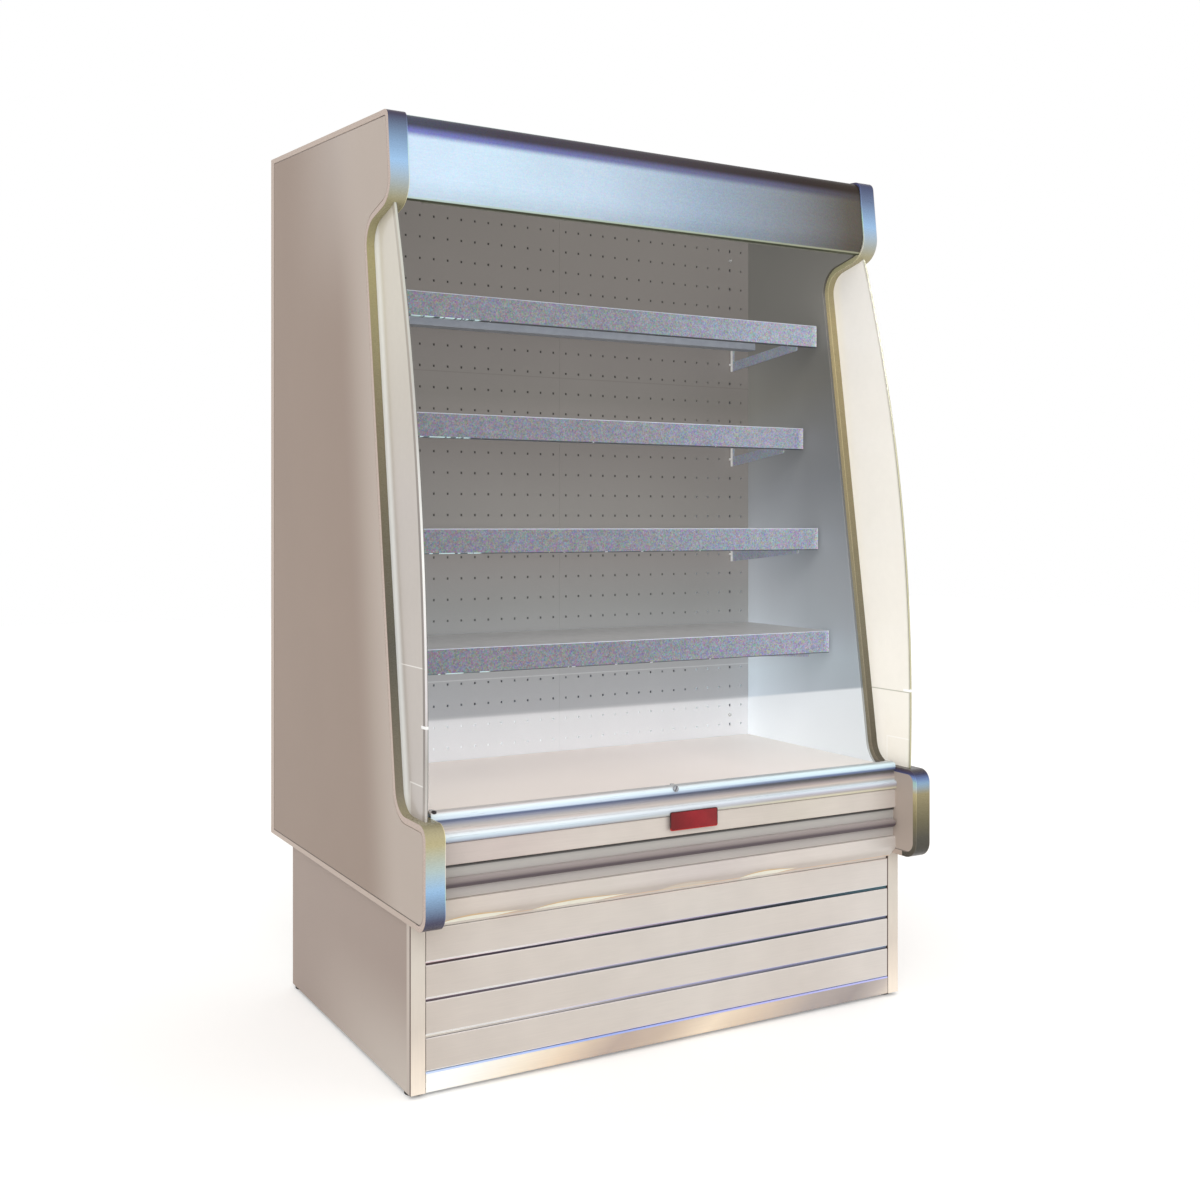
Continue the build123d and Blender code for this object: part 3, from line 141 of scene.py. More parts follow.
def mixed(finish, share, first, second, blend="MIX"):
    node = addNode(finish, "Mix")
    node.data_type = "RGBA"
    node.blend_type = blend
    if isinstance(share, (int, float)):
        node.inputs[0].default_value = share
    else:
        join(finish, share, node.inputs[0])
    join(finish, first, node.inputs[6])
    join(finish, second, node.inputs[7])
    return node.outputs[2]


def covered(finish, share, colour, code):  # one even colour laid over another
    return mixed(finish, share, colour, solid(finish, code))


def tinted(finish, colour, tint):
    return mixed(finish, 1.0, colour, tint, "MULTIPLY")


def noise(finish, place, scale, stretch=(1, 1, 1), detail=3.0):
    mapping = addNode(finish, "Mapping")
    mapping.inputs["Scale"].default_value = [scale * s for s in stretch]
    join(finish, place, mapping.inputs[0])
    node = addNode(finish, "TexNoise")
    node.inputs["Scale"].default_value = 1.0
    node.inputs["Detail"].default_value = detail
    join(finish, mapping.outputs[0], node.inputs["Vector"])
    return node.outputs["Fac"]


noiseReach = (0.3, 0.7)  # most values of a noise lie between these


def spreadTo(finish, value, low, high):  # a noise value spread over low to high
    node = addNode(finish, "MapRange")
    node.inputs["From Min"].default_value, node.inputs["From Max"].default_value = noiseReach
    node.inputs["To Min"].default_value = low
    node.inputs["To Max"].default_value = high
    join(finish, value, node.inputs["Value"])
    return node.outputs[0]


def varied(finish, colour, value, contrast):
    return tinted(finish, colour, spreadTo(finish, value, 1 - contrast, 1 + contrast))


zincCrystals = {"grey": "BCBCC4", "greyShare": 0.5}


def spangled(finish, colour, place, scale, share):  # crystals of the zinc, each of its own tint
    cells = addNode(finish, "TexVoronoi")
    cells.inputs["Scale"].default_value = scale
    join(finish, place, cells.inputs["Vector"])
    tint = covered(finish, zincCrystals["greyShare"], cells.outputs["Color"], zincCrystals["grey"])
    return mixed(finish, share, colour, tint, "OVERLAY")


plainLook = {  # what a finish has where its own look says nothing
    "grainScale": 400, "grainStretch": (1, 1, 1), "grainDetail": 3.0, "grainContrast": 0.02,
    "blotchScale": 4, "blotchDetail": 2.0, "blotchContrast": 0.015, "roughness": 0.5,
    "roughnessSwing": 0.06, "bump": 0.15, "bumpDepth": 0.0004, "metallic": 0.0, "specular": 0.4,
    "coat": 0.0, "coatRoughness": 0.1, "alpha": 1.0,
}
evenSockets = {
    "Metallic": "metallic", "Specular IOR Level": "specular", "Coat Weight": "coat",
    "Coat Roughness": "coatRoughness", "Alpha": "alpha",
}


def makeFinish(name, look, paintColour=None):
    look = {**plainLook, **look}
    finish = bpy.data.materials.new(name)
    finish.use_nodes = True
    shader = finish.node_tree.nodes["Principled BSDF"]
    place = addNode(finish, "TexCoord").outputs["Object"]
    split = addNode(finish, "SeparateXYZ")
    join(finish, place, split.inputs[0])
    if paintColour:
        colour = paintColour(finish, split.outputs, place)
    else:
        colour = solid(finish, look["colour"])
    grain = noise(finish, place, look["grainScale"], look["grainStretch"], look["grainDetail"])
    blotch = noise(finish, place, look["blotchScale"], detail=look["blotchDetail"])
    colour = varied(finish, colour, grain, look["grainContrast"])
    colour = varied(finish, colour, blotch, look["blotchContrast"])
    join(finish, colour, shader.inputs["Base Color"])
    low, high = look["roughness"] - look["roughnessSwing"], look["roughness"] + look["roughnessSwing"]
    join(finish, spreadTo(finish, grain, low, high), shader.inputs["Roughness"])
    bump = addNode(finish, "Bump")
    bump.inputs["Strength"].default_value = look["bump"]
    bump.inputs["Distance"].default_value = look["bumpDepth"]
    join(finish, grain, bump.inputs["Height"])
    join(finish, bump.outputs[0], shader.inputs["Normal"])
    for socket, key in evenSockets.items():
        shader.inputs[socket].default_value = look[key]
    return finish


def wear(finish, *names):  # gives nodes of the frame their finish
    for name in names:
        materials = nodes[name].data.materials
        if len(materials) == 0:
            materials.append(finish)
        for i in range(len(materials)):
            materials[i] = finish


across, back, up = 0, 1, 2  # the frame's axes: to the right, to the back and up


def paintAlong(axis, stops, level=1.0):
    return lambda finish, axes, place: ramp(finish, axes[axis], stops, level)


def makePiece(name, bm, body, *finishes):  # turns a bmesh into a piece that rides on a body
    mesh = bpy.data.meshes.new(name)
    bm.to_mesh(mesh)
    bm.free()
    for finish in finishes:
        mesh.materials.append(finish)
    piece = bpy.data.objects.new(name, mesh)
    bpy.context.scene.collection.objects.link(piece)
    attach(piece, body)
    return piece


def addBar(bm, low, high, index=0):  # a bar between two corners
    corners = [bm.verts.new([(low, high)[bits >> axis & 1][axis] * mm for axis in range(3)])
               for bits in range(8)]
    for sides in ((0, 2, 3, 1), (4, 5, 7, 6), (0, 1, 5, 4), (2, 6, 7, 3), (0, 4, 6, 2), (1, 3, 7, 5)):
        bm.faces.new([corners[i] for i in sides]).material_index = index


def addTurned(bm, profile, place, direction, index=0, steps=36):  # profile is (radius, height), rim first
    turn = Vector(direction).to_track_quat("Z", "Y").to_matrix()
    rings = []
    for radius, height in profile:
        ring = []
        for i in range(steps if radius > 0 else 1):
            angle = 2 * math.pi * i / steps
            corner = turn @ Vector((radius * math.cos(angle), radius * math.sin(angle), height))
            ring.append(bm.verts.new((corner + Vector(place)) * mm))
        rings.append(ring)
    bm.faces.new(reversed(rings[0])).material_index = index
    for low, high in zip(rings, rings[1:]):
        for i in range(steps):
            j = (i + 1) % steps
            corners = [low[i], low[j], high[0]] if len(high) == 1 else [low[i], low[j], high[j], high[i]]
            face = bm.faces.new(corners)
            face.smooth = True
            face.material_index = index


# painted end walls, base sides and rear sheets

sidePanelLook = {
    "deep": "998679", "light": "BAACA1", "top": "BAADA4", "rim": "C0AFA3", "groove": "857A74",
    "frontFade": (210, 0), "topFade": (1560, 2040), "forwardFade": (420, -150),
    "grainScale": 900, "grainContrast": 0.012, "roughness": 0.5, "bump": 0.12, "bumpDepth": 0.0003,
    "specular": 0.35,
}
recessLean = {"bottomY": -371, "bottomZ": 567, "slope": 0.1494}  # the end walls' slanting front edge
topEdge = {"backY": 525, "backZ": 2100, "slope": 0.1018}
panelBorder = {"rear": 26, "others": 12, "groove": 2.5, "bottomZ": 355.5}


def behindRecess(finish, axes):  # how far a place lies behind the slanting front edge
    lean = recessLean["slope"]
    ahead = leaning(finish, axes[back], axes[up], -lean)
    return maths(finish, "SUBTRACT", ahead, (recessLean["bottomY"] - recessLean["bottomZ"] * lean) * mm)


def belowTop(finish, axes):  # how far a place lies below the sloping top
    lean = leaning(finish, axes[up], axes[back], -topEdge["slope"])
    return maths(finish, "SUBTRACT", (topEdge["backZ"] - topEdge["backY"] * topEdge["slope"]) * mm, lean)


# painted shade at the back and low down, painted light towards the top front and along the slanting front
# edge, a lighter border rim, and painted shade in the groove inside it
def paintSide(finish, axes, place):
    look = sidePanelLook
    high = fade(finish, axes[up], *look["topFade"])
    forward = fade(finish, axes[back], *look["forwardFade"])
    colour = covered(finish, both(finish, high, forward), solid(finish, look["deep"]), look["top"])
    nearFront = fade(finish, behindRecess(finish, axes), *look["frontFade"])
    colour = covered(finish, nearFront, colour, look["light"])
    border, groove = panelBorder["others"], panelBorder["groove"]
    rearLine = topEdge["backY"] - panelBorder["rear"]
    lowLine = panelBorder["bottomZ"] + border
    down = belowTop(finish, axes)
    rim = most(finish, fade(finish, axes[back], rearLine, rearLine + 1),
               fade(finish, down, border + 1, border), fade(finish, axes[up], lowLine, lowLine - 1))
    colour = covered(finish, rim, colour, look["rim"])
    line = most(finish, within(finish, axes[back], rearLine - groove, rearLine),
                within(finish, down, border, border + groove),
                within(finish, axes[up], lowLine, lowLine + groove))
    return covered(finish, both(finish, line, restOf(finish, rim)), colour, look["groove"])


wear(makeFinish("taupePanel", sidePanelLook, paintSide), "left_end_panel", "right_end_panel")

baseSideLook = {
    "deep": "A19086", "light": "C6BBB1", "lowFade": (260, 0), "forwardFade": (330, -420),
    "grainScale": 900, "grainContrast": 0.012, "roughness": 0.5, "bump": 0.12, "bumpDepth": 0.0003,
    "specular": 0.35,
}


# painted shade over the base side, with painted light in its low front corner
def paintBaseSide(finish, axes, place):  # light in its low front corner
    look = baseSideLook
    corner = both(finish, fade(finish, axes[up], *look["lowFade"]),
                  fade(finish, axes[back], *look["forwardFade"]))
    return covered(finish, corner, solid(finish, look["deep"]), look["light"])


wear(makeFinish("taupeBase", baseSideLook, paintBaseSide), "left_base_panel", "right_base_panel")

backLook = {
    "colour": "B3AAA0", "seam": "7A736B", "seamZ": 1250, "frontFade": (-1, -4),
    "grainScale": 700, "grainContrast": 0.02, "blotchContrast": 0.03, "roughness": 0.55, "bump": 0.15,
    "specular": 0.3,
}
# painted light low down and painted shade higher up, on the faces seen through the duct's holes
ductDepthUp = [(560, "EEF0F2"), (667, "E8EAEC"), (676, "6A6E74"), (1000, "5A5855"), (1400, "46433F"),
               (1945, "3E3B37")]
rearLow, rearHigh = [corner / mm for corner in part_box("insulated_back_wall")]
rearY = rearHigh.y
print("rear wall", [round(v, 1) for v in rearLow], [round(v, 1) for v in rearHigh])


def paintBackWall(finish, axes, place):  # its front face lies in the shade of the air duct
    seam = within(finish, axes[up], backLook["seamZ"] - 1, backLook["seamZ"] + 1)
    rear = covered(finish, seam, solid(finish, backLook["colour"]), backLook["seam"])
    start, end = backLook["frontFade"]
    front = fade(finish, axes[back], rearY + start, rearY + end)
    return mixed(finish, front, rear, ramp(finish, axes[up], ductDepthUp))


wear(makeFinish("backSheet", backLook), "insulated_roof", "rear_base_panel")
wear(makeFinish("backWallSheet", backLook, paintBackWall), "insulated_back_wall")
print("painted panels done")

# edge trim: bright rolled metal with painted reflection running along its height

trimLook = {
    "rim": "BDA99D", "rimFade": (646.9, 647.2), "flangeFade": (606.5, 605.6), "flangeLift": 2.1,
    "flangeLimit": "ECE6D8", "grainScale": 260, "grainStretch": (1, 1, 12), "grainContrast": 0.02,
    "roughness": 0.28, "roughnessSwing": 0.05, "metallic": 0.15, "bump": 0.08, "specular": 0.3,
}
leftTrimUp = [
    (352, "2A2032"), (380, "4A4A62"), (441, "95BADD"), (480, "AFC0BE"), (530, "B6AC84"), (600, "857D6C"),
    (900, "5F5C52"), (1356, "7F765F"), (1730, "A59C72"), (1829, "A8A180"), (1905, "98BCE0"),
    (1950, "7C98B8"), (2008, "372C44"), (2016, "2A2138"),
]
rightTrimUp = [
    (355, "393631"), (406, "4C4940"), (445, "676149"), (483, "81785A"), (512, "958B68"), (535, "86A5C0"),
    (547, "5F74A4"), (558, "281D35"), (575, "5C5548"), (900, "78725F"), (1343, "938767"), (1678, "A89A74"),
    (1826, "AFA785"), (1900, "92B4D8"), (1965, "60708E"), (2008, "363A5C"), (2016, "2A2138"),
]


# painted reflection along the height; the flange's inner side is painted brighter against its shade, up to a
# limit
def paintTrim(stops):
    def paint(finish, axes, place):
        outward = maths(finish, "ABSOLUTE", axes[across])
        flange = mixed(finish, 1.0, ramp(finish, axes[up], stops, trimLook["flangeLift"]),
                       solid(finish, trimLook["flangeLimit"]), "DARKEN")
        inner = fade(finish, outward, *trimLook["flangeFade"])
        colour = mixed(finish, inner, ramp(finish, axes[up], stops), flange)
        return covered(finish, fade(finish, outward, *trimLook["rimFade"]), colour, trimLook["rim"])
    return paint


wear(makeFinish("leftTrimMetal", trimLook, paintTrim(leftTrimUp)), "left_end_trim")
wear(makeFinish("rightTrimMetal", trimLook, paintTrim(rightTrimUp)), "right_end_trim")

# canopy: satin steel with painted reflection, dark along its round top and towards the right end

canopyLook = {
    "reflectedBandFade": (1958, 1974), "topFade": (1973, 1989), "crestHighlight": "86A39C", "crestFade": (2007, 2011),
    "crestEnd": (100, -500), "spangleScale": 420, "spangleShare": 0.25, "hemFade": (1837.6, 1835.8),
    "lip": "4F5340", "lipFade": (1834, 1832.6), "grainScale": 300, "grainStretch": (0.15, 1, 1),
    "grainContrast": 0.025, "blotchScale": 7, "blotchContrast": 0.02, "roughness": 0.4, "metallic": 0.1,
    "bump": 0.08, "specular": 0.15,
}
canopyAcross = [
    (-605, "CBDFF2"), (-397, "C5DBEC"), (-151, "BACDDF"), (0, "AABCCE"), (116, "98A9BB"), (407, "7B8086"),
    (562, "5A554D"), (605, "544E46"),
]
canopyTopAcross = [(-605, "464959"), (-390, "423D49"), (0, "40393F"), (418, "2E2422"), (605, "30261F")]
canopyReflectedBandAcross = [(-605, "757AB8"), (-390, "6C71A8"), (0, "696C92"), (300, "5E5F7C"), (605, "46403B")]
canopyHemAcross = [(-605, "C6DCD8"), (0, "B4C4B0"), (605, "9A9A82")]


# painted reflection across and up the fascia: a coloured band under a dark top, a painted highlight on the
# crest, a pale painted highlight along the hem and a painted shadow line below it
def paintCanopy(finish, axes, place):
    look = canopyLook
    colour = mixed(finish, fade(finish, axes[up], *look["reflectedBandFade"]),
                   ramp(finish, axes[across], canopyAcross), ramp(finish, axes[across], canopyReflectedBandAcross))
    colour = mixed(finish, fade(finish, axes[up], *look["topFade"]), colour,
                   ramp(finish, axes[across], canopyTopAcross))
    crestHighlight = both(finish, fade(finish, axes[up], *look["crestFade"]),
                 fade(finish, axes[across], *look["crestEnd"]))
    colour = covered(finish, crestHighlight, colour, look["crestHighlight"])
    colour = spangled(finish, colour, place, look["spangleScale"], look["spangleShare"])
    colour = mixed(finish, fade(finish, axes[up], *look["hemFade"]), colour,
                   ramp(finish, axes[across], canopyHemAcross))
    return covered(finish, fade(finish, axes[up], *look["lipFade"]), colour, look["lip"])


wear(makeFinish("canopySteel", canopyLook, paintCanopy), "canopy_fascia")

# stainless front: aprons, louvres, kick plate and posts

steelLook = {
    "grainScale": 420, "grainStretch": (0.03, 1, 1), "grainContrast": 0.025, "blotchScale": 9,
    "blotchContrast": 0.03, "roughness": 0.4, "metallic": 0.25, "bump": 0.06, "specular": 0.3,
}
# painted reflection: the front apron darker towards its left end
apronAcross = [(-605, "BFB5AF"), (-450, "CCBFB9"), (-217, "D1C8C0"), (173, "CDC4BB"), (315, "CFC7BC"),
               (605, "D6CDC6")]
wear(makeFinish("apronSteel", steelLook, paintAlong(across, apronAcross)), "front_apron")

louvreLook = {
    "firstZ": 50.3, "pitch": 73.5, "gap": 5, "faceY": -424, "count": 4,
    "lowFade": (4.5, 1.2), "highFade": (-3.5, -1), "high": "E3DBD8", "endFade": (602.6, 603.2),
    "end": "6A5A55", "insideFade": (1.2, 2.6),
}
slatHeight = louvreLook["pitch"] - louvreLook["gap"]
louvreAcross = [(-605, "C8BEB5"), (-500, "CDC4BC"), (60, "D2CBC4"), (340, "D0C8C1"), (605, "D6CFC9")]
lipAcross = [(-605, "FFFFFF"), (-440, "FFFFFF"), (-250, "F4E8F4"), (-60, "D6D2F0"), (140, "C9CBEE"),
             (340, "E2E0EE"), (605, "E8EEF0")]
shadeAcross = [(-605, "4E4048"), (-450, "4A4450"), (-200, "383A52"), (100, "2E344C"), (350, "32384E"),
               (605, "3A4A58")]


# painted reflection across the slats, a painted highlight on each slat's lower bend and top edge, painted
# shade at the right end and inside the slots
def paintLouvres(finish, axes, place):
    look = louvreLook
    upSlat = repeating(finish, axes[up], look["firstZ"], look["pitch"])
    low = fade(finish, upSlat, *look["lowFade"])
    colour = mixed(finish, low, ramp(finish, axes[across], louvreAcross),
                   ramp(finish, axes[across], lipAcross))
    start, end = look["highFade"]
    high = fade(finish, upSlat, slatHeight + start, slatHeight + end)
    colour = covered(finish, both(finish, high, restOf(finish, low)), colour, look["high"])
    colour = covered(finish, fade(finish, axes[across], *look["endFade"]), colour, look["end"])
    start, end = look["insideFade"]
    inside = fade(finish, axes[back], look["faceY"] + start, look["faceY"] + end)
    return mixed(finish, inside, colour, ramp(finish, axes[across], shadeAcross))


wear(makeFinish("louvreSteel", steelLook, paintLouvres), "louvre_panel")

grooveLook = {
    "y": -419.5, "depth": 1.2, "half": 603.5, "lap": 1.0, "topReach": 0.9,
    "middleFade": (2.6, 3.2), "wrapFade": (20, 19), "lowestFade": (160, 150), "topmostFade": (225, 235),
    "cap": "E6DDD4", "capFade": (325, 330),
}
# painted highlight on the upper half and painted shade on the lower half of each groove
grooveHighlight = [  # upper half of each groove, top groove first
    [(-605, "FFE7EB"), (-400, "FFF9FA"), (-200, "C8B7CA"), (100, "8A7A90"), (300, "3A404A"), (605, "40606A")],
    [(-605, "FFF5F4"), (-430, "FFFFFF"), (-200, "BDBBD2"), (300, "9A92B4"), (605, "7E80A0")],
    [(-605, "FFFCF4"), (-300, "F4F6FF"), (-100, "BCBEE4"), (300, "9C9CC4"), (605, "8C9AB4")],
]
grooveShade = [  # lower half
    [(-605, "5A4848"), (-430, "483D4B"), (-200, "42464F"), (300, "2A323A"), (605, "4A6A74")],
    [(-605, "6A5A62"), (-430, "746A75"), (-200, "70747C"), (300, "424F55"), (605, "5A6070")],
    [(-605, "E0D8CC"), (-300, "C8C2C0"), (-100, "A49FA3"), (300, "7A7C90"), (605, "6A7080")],
]


# the top edge of the highest lip is painted light against its shade
def paintGrooves(finish, axes, place):  # from the top one down, each reflects more
    look = grooveLook
    upGroove = repeating(finish, axes[up], louvreLook["firstZ"] + slatHeight, louvreLook["pitch"])
    upper = both(finish, fade(finish, upGroove, *look["middleFade"]),
                 fade(finish, upGroove, *look["wrapFade"]))
    bands = [mixed(finish, upper, ramp(finish, axes[across], dark), ramp(finish, axes[across], light))
             for light, dark in zip(grooveHighlight, grooveShade)]
    colour = mixed(finish, fade(finish, axes[up], *look["lowestFade"]), bands[1], bands[2])
    colour = mixed(finish, fade(finish, axes[up], *look["topmostFade"]), colour, bands[0])
    return covered(finish, fade(finish, axes[up], *look["capFade"]), colour, look["cap"])


def makeGrooveLips():  # the folded lips that close the grooves behind the slats
    look = grooveLook
    bm = bmesh.new()
    for i in range(louvreLook["count"]):
        low = louvreLook["firstZ"] + louvreLook["pitch"] * i + slatHeight - look["lap"]
        topmost = i == louvreLook["count"] - 1
        high = low + louvreLook["gap"] + (look["topReach"] if topmost else look["lap"] * 2)
        addBar(bm, (-look["half"], look["y"], low), (look["half"], look["y"] + look["depth"], high))
    return makePiece("louvreLips", bm, "front_grille", makeFinish("grooveSteel", steelLook, paintGrooves))


makeGrooveLips()

lowerApronAcross = [(-605, "C9BFB5"), (-540, "CFC4BA"), (-400, "D1C7BF"), (-218, "CFC7BF"), (37, "CAC1BD"),
                    (315, "D4CBC4"), (605, "D6CFC9")]
highlightStreakLook = {
    "colour": "FFFFF0", "glow": "E0C296", "glowSpread": 1.5, "half": 9, "soft": 1.5, "lowZ": 346.5,
    "highZ": 353.5, "rollLit": "EED2B8", "rollFade": (350, 347),
}
highlightStreaks = ((-585, -372, 1.0), (-372, -105, 1.0), (-60, 120, 0.25), (158, 340, 1.0))  # start, end, strength


def lens(finish, axes, start, end, half):  # a slim lens that climbs from start to end, thick near its start
    node = addNode(finish, "MapRange")
    node.inputs["From Min"].default_value = start * mm
    node.inputs["From Max"].default_value = end * mm
    join(finish, axes[across], node.inputs["Value"])
    along = node.outputs[0]
    rest = restOf(finish, along)
    climb = (highlightStreakLook["highZ"] - highlightStreakLook["lowZ"]) * mm
    middle = maths(finish, "ADD", maths(finish, "MULTIPLY", along, climb), highlightStreakLook["lowZ"] * mm)
    offset = maths(finish, "ABSOLUTE", maths(finish, "SUBTRACT", axes[up], middle))
    bulge = both(finish, along, rest, rest)  # 4 / 27 at its thickest
    bulge = maths(finish, "MULTIPLY", bulge, 27 / 4 * half * mm)
    return fade(finish, maths(finish, "SUBTRACT", bulge, offset), 0, highlightStreakLook["soft"])


# painted highlight streaks with a warm fringe, and the bottom roll painted brighter against its shade
def paintLowerApron(finish, axes, place):
    look = highlightStreakLook
    colour = ramp(finish, axes[across], lowerApronAcross)
    colour = covered(finish, fade(finish, axes[up], *look["rollFade"]), colour, look["rollLit"])
    for half, code in ((look["half"] * look["glowSpread"], look["glow"]), (look["half"], look["colour"])):
        for start, end, strength in highlightStreaks:
            highlightStreak = maths(finish, "MULTIPLY", lens(finish, axes, start, end, half), strength)
            colour = covered(finish, highlightStreak, colour, code)
    return colour


wear(makeFinish("lowerApronSteel", steelLook, paintLowerApron), "lower_apron")

kickLook = {"slant": -1.4, "lineFade": (45.5, 47)}
kickAcross = [
    (-605, "FFFFFB"), (-560, "FDFCF7"), (-440, "F5EAD8"), (-330, "E6D3BC"), (-202, "BDAB9F"), (-80, "C9B7A6"),
    (55, "EEDDC6"), (160, "DCC9B4"), (336, "B2A7A2"), (460, "A59B98"), (540, "C0B6B0"), (605, "E2D6C8"),
]
kickHighlightAcross = [(-605, "C9DAF8"), (-250, "9DB4F0"), (200, "B4B8F2"), (605, "B9BCEE")]


# painted reflection: warm streaks that slant, and a thin blue painted highlight along the top
def paintKick(finish, axes, place):  # warm streaks that slant, under a thin blue line
    slant = leaning(finish, axes[across], axes[up], kickLook["slant"])
    line = fade(finish, axes[up], *kickLook["lineFade"])
    return mixed(finish, line, ramp(finish, slant, kickAcross), ramp(finish, axes[across], kickHighlightAcross))


wear(makeFinish("kickSteel", steelLook, paintKick), "kick_plate")

postLook = dict(steelLook, grainStretch=(1, 1, 0.03), side="C4B7AD", sideFade=(-637, -637.8), edge="5E4E48",
                edgeAcross=(604, 606.4, 0.2), cornerFade=(-419, -421))
postUp = [(8, "F4E8D9"), (60, "ECDFD0"), (140, "D8CDC1"), (260, "D4CCC1"), (355, "CDC4B9")]


# painted reflection brighter low down, painted shade lines in the gap beside the slats and on the outer front
# corner
def paintPost(finish, axes, place):
    side = fade(finish, axes[across], *postLook["sideFade"])
    colour = covered(finish, side, ramp(finish, axes[up], postUp), postLook["side"])
    corner = both(finish, side, fade(finish, axes[back], *postLook["cornerFade"]))
    edge = most(finish, within(finish, axes[across], *postLook["edgeAcross"]), corner)
    return covered(finish, edge, colour, postLook["edge"])


wear(makeFinish("postSteel", postLook, paintPost), "front_corner_posts")

# nosing, bumper and badge: bands of reflected colour over the mouldings

nosingLook = {
    "turnAcross": (-450, 450), "grainScale": 300, "grainStretch": (0.05, 1, 1), "grainContrast": 0.012,
    "roughness": 0.3, "metallic": 0.1, "bump": 0.04, "specular": 0.25,
}
nosingLeftUp = [
    (511, "BAB4B6"), (515, "A6ACBC"), (521, "C6D6E2"), (528, "EAF5FB"), (534, "E2E0E0"), (538, "CEC3BE"),
    (546, "B2AEAD"), (554, "8389A0"), (559.5, "6B7B9F"), (563, "D2E2F2"), (572, "EAF7FD"),
    (576, "DFD9D8"), (579.2, "D5CEC8"),
]
nosingRightUp = [
    (511, "D1C9C7"), (517, "DBD6BA"), (521, "B0A8A2"), (526, "B9B8C4"), (532.5, "DFEBF3"), (537, "B8B7B4"),
    (542, "CBBDB4"), (548, "9F9494"), (553, "6D6968"), (558, "5C5D62"), (564, "7080A6"),
    (567.5, "CFE5F1"), (575, "DEF1F6"), (577.5, "B8C3C5"), (579.2, "D3D1D2"),
]


def paintNosing(finish, axes, place):
    turn = fade(finish, axes[across], *nosingLook["turnAcross"])
    return mixed(finish, turn, ramp(finish, axes[up], nosingLeftUp), ramp(finish, axes[up], nosingRightUp))


wear(makeFinish("nosingSteel", nosingLook, paintNosing), "front_nosing")

channelLook = {"grainScale": 600, "grainStretch": (0.1, 1, 1), "grainContrast": 0.02, "roughness": 0.5,
               "bump": 0.05}
# painted shadow under the apron's lower edge, and a painted shade line just above the rail
channelUp = [(399, "C6BFB9"), (403, "B9B3AE"), (420, "B4ADAA"), (421.5, "A39C98"), (445, "B6B2AE"),
             (455, "B3AFAA"), (460, "A8A5A1"), (462.3, "5A5856"), (465.5, "3C3836")]
wear(makeFinish("channelGrey", channelLook, paintAlong(up, channelUp)), "bumper_channel")

railLook = {"grainScale": 500, "grainStretch": (0.1, 1, 1), "grainContrast": 0.02, "roughness": 0.4,
            "bump": 0.05, "specular": 0.25}
# painted shade on the rail's underside and a painted highlight along its top
railUp = [(421.5, "6A6162"), (424.5, "5A5054"), (429, "584E53"), (434.5, "8A807E"), (438, "968C8A"),
          (441.5, "ACA29F")]
wear(makeFinish("railVinyl", railLook, paintAlong(up, railUp)), "bumper_rail")

badgeLook = {
    "middle": 17, "half": 62, "rim": 2.2, "soft": 0.8, "lowFade": (483.5, 482.8), "highFade": (520.5, 521.2),
    "rimShadedTop": "4A1416", "rimLitFoot": "B4241E", "rimFade": (490, 484), "grainScale": 300,
    "grainContrast": 0.08, "blotchScale": 30, "blotchContrast": 0.12, "roughness": 0.4, "coat": 0.08,
    "specular": 0.2,
}
badgeAcross = [(-45, "6A1A1C"), (20, "901E26"), (79, "86282A")]


# the pressed rim painted dark at its top and bright at its foot, as painted shade and highlight; the plate
# darker towards its left end
def paintBadge(finish, axes, place):  # a bare plate with a pressed rim
    look = badgeLook
    offset = maths(finish, "ABSOLUTE", maths(finish, "SUBTRACT", axes[across], look["middle"] * mm))
    rimStart = look["half"] - look["rim"]
    edge = most(finish, fade(finish, offset, rimStart, rimStart + look["soft"]),
                fade(finish, axes[up], *look["lowFade"]), fade(finish, axes[up], *look["highFade"]))
    rim = covered(finish, fade(finish, axes[up], *look["rimFade"]), solid(finish, look["rimShadedTop"]),
                  look["rimLitFoot"])
    return mixed(finish, edge, ramp(finish, axes[across], badgeAcross), rim)


wear(makeFinish("badgeRed", badgeLook, paintBadge), "badge_plate")

# a slotted screw on the nosing's front, a dark washer at its left end, and screws around the rear wall

nosingScrew = {"place": (-27, -452.4, 572), "direction": (0, -0.94, 0.34), "turn": 55, "radius": 7.2,
               "height": 2.6, "slot": 0.9}
endWasher = {"place": (-597, -446.5, 577.4), "direction": (0, -0.37, 0.93), "radius": 5.5, "height": 0.8}
slotLift = 0.12  # so that the dark slot shows on the head's crown
screwLook = {"colour": "9DA0A5", "grainScale": 900, "grainContrast": 0.08, "roughness": 0.3, "metallic": 0.5}
# the slot is a dark bar on the head's crown, painted shade for the slot's hollow; the washer wears the same
# dark finish as its own colour
slotLook = {"colour": "3A3436", "grainScale": 900, "grainContrast": 0.08, "roughness": 0.5}


def addSlottedScrew(bm, place, direction, look, angle):  # index 0 for the head, 1 for its slot
    radius, height, slot = look["radius"], look["height"], look["slot"]
    dome = [(radius, -1), (radius, height * 0.3), (radius * 0.9, height * 0.6), (radius * 0.7, height * 0.85),
            (radius * 0.35, height), (0, height * 1.02)]
    addTurned(bm, dome, place, direction, 0, 24)
    turn = Vector(direction).to_track_quat("Z", "Y").to_matrix() @ Matrix.Rotation(angle, 3, "Z")
    start = len(bm.verts)
    addBar(bm, (-radius * 0.8, -slot, 0), (radius * 0.8, slot, height + slotLift), 1)
    bm.verts.ensure_lookup_table()
    for vertex in bm.verts[start:]:
        vertex.co = turn @ vertex.co + Vector(place) * mm


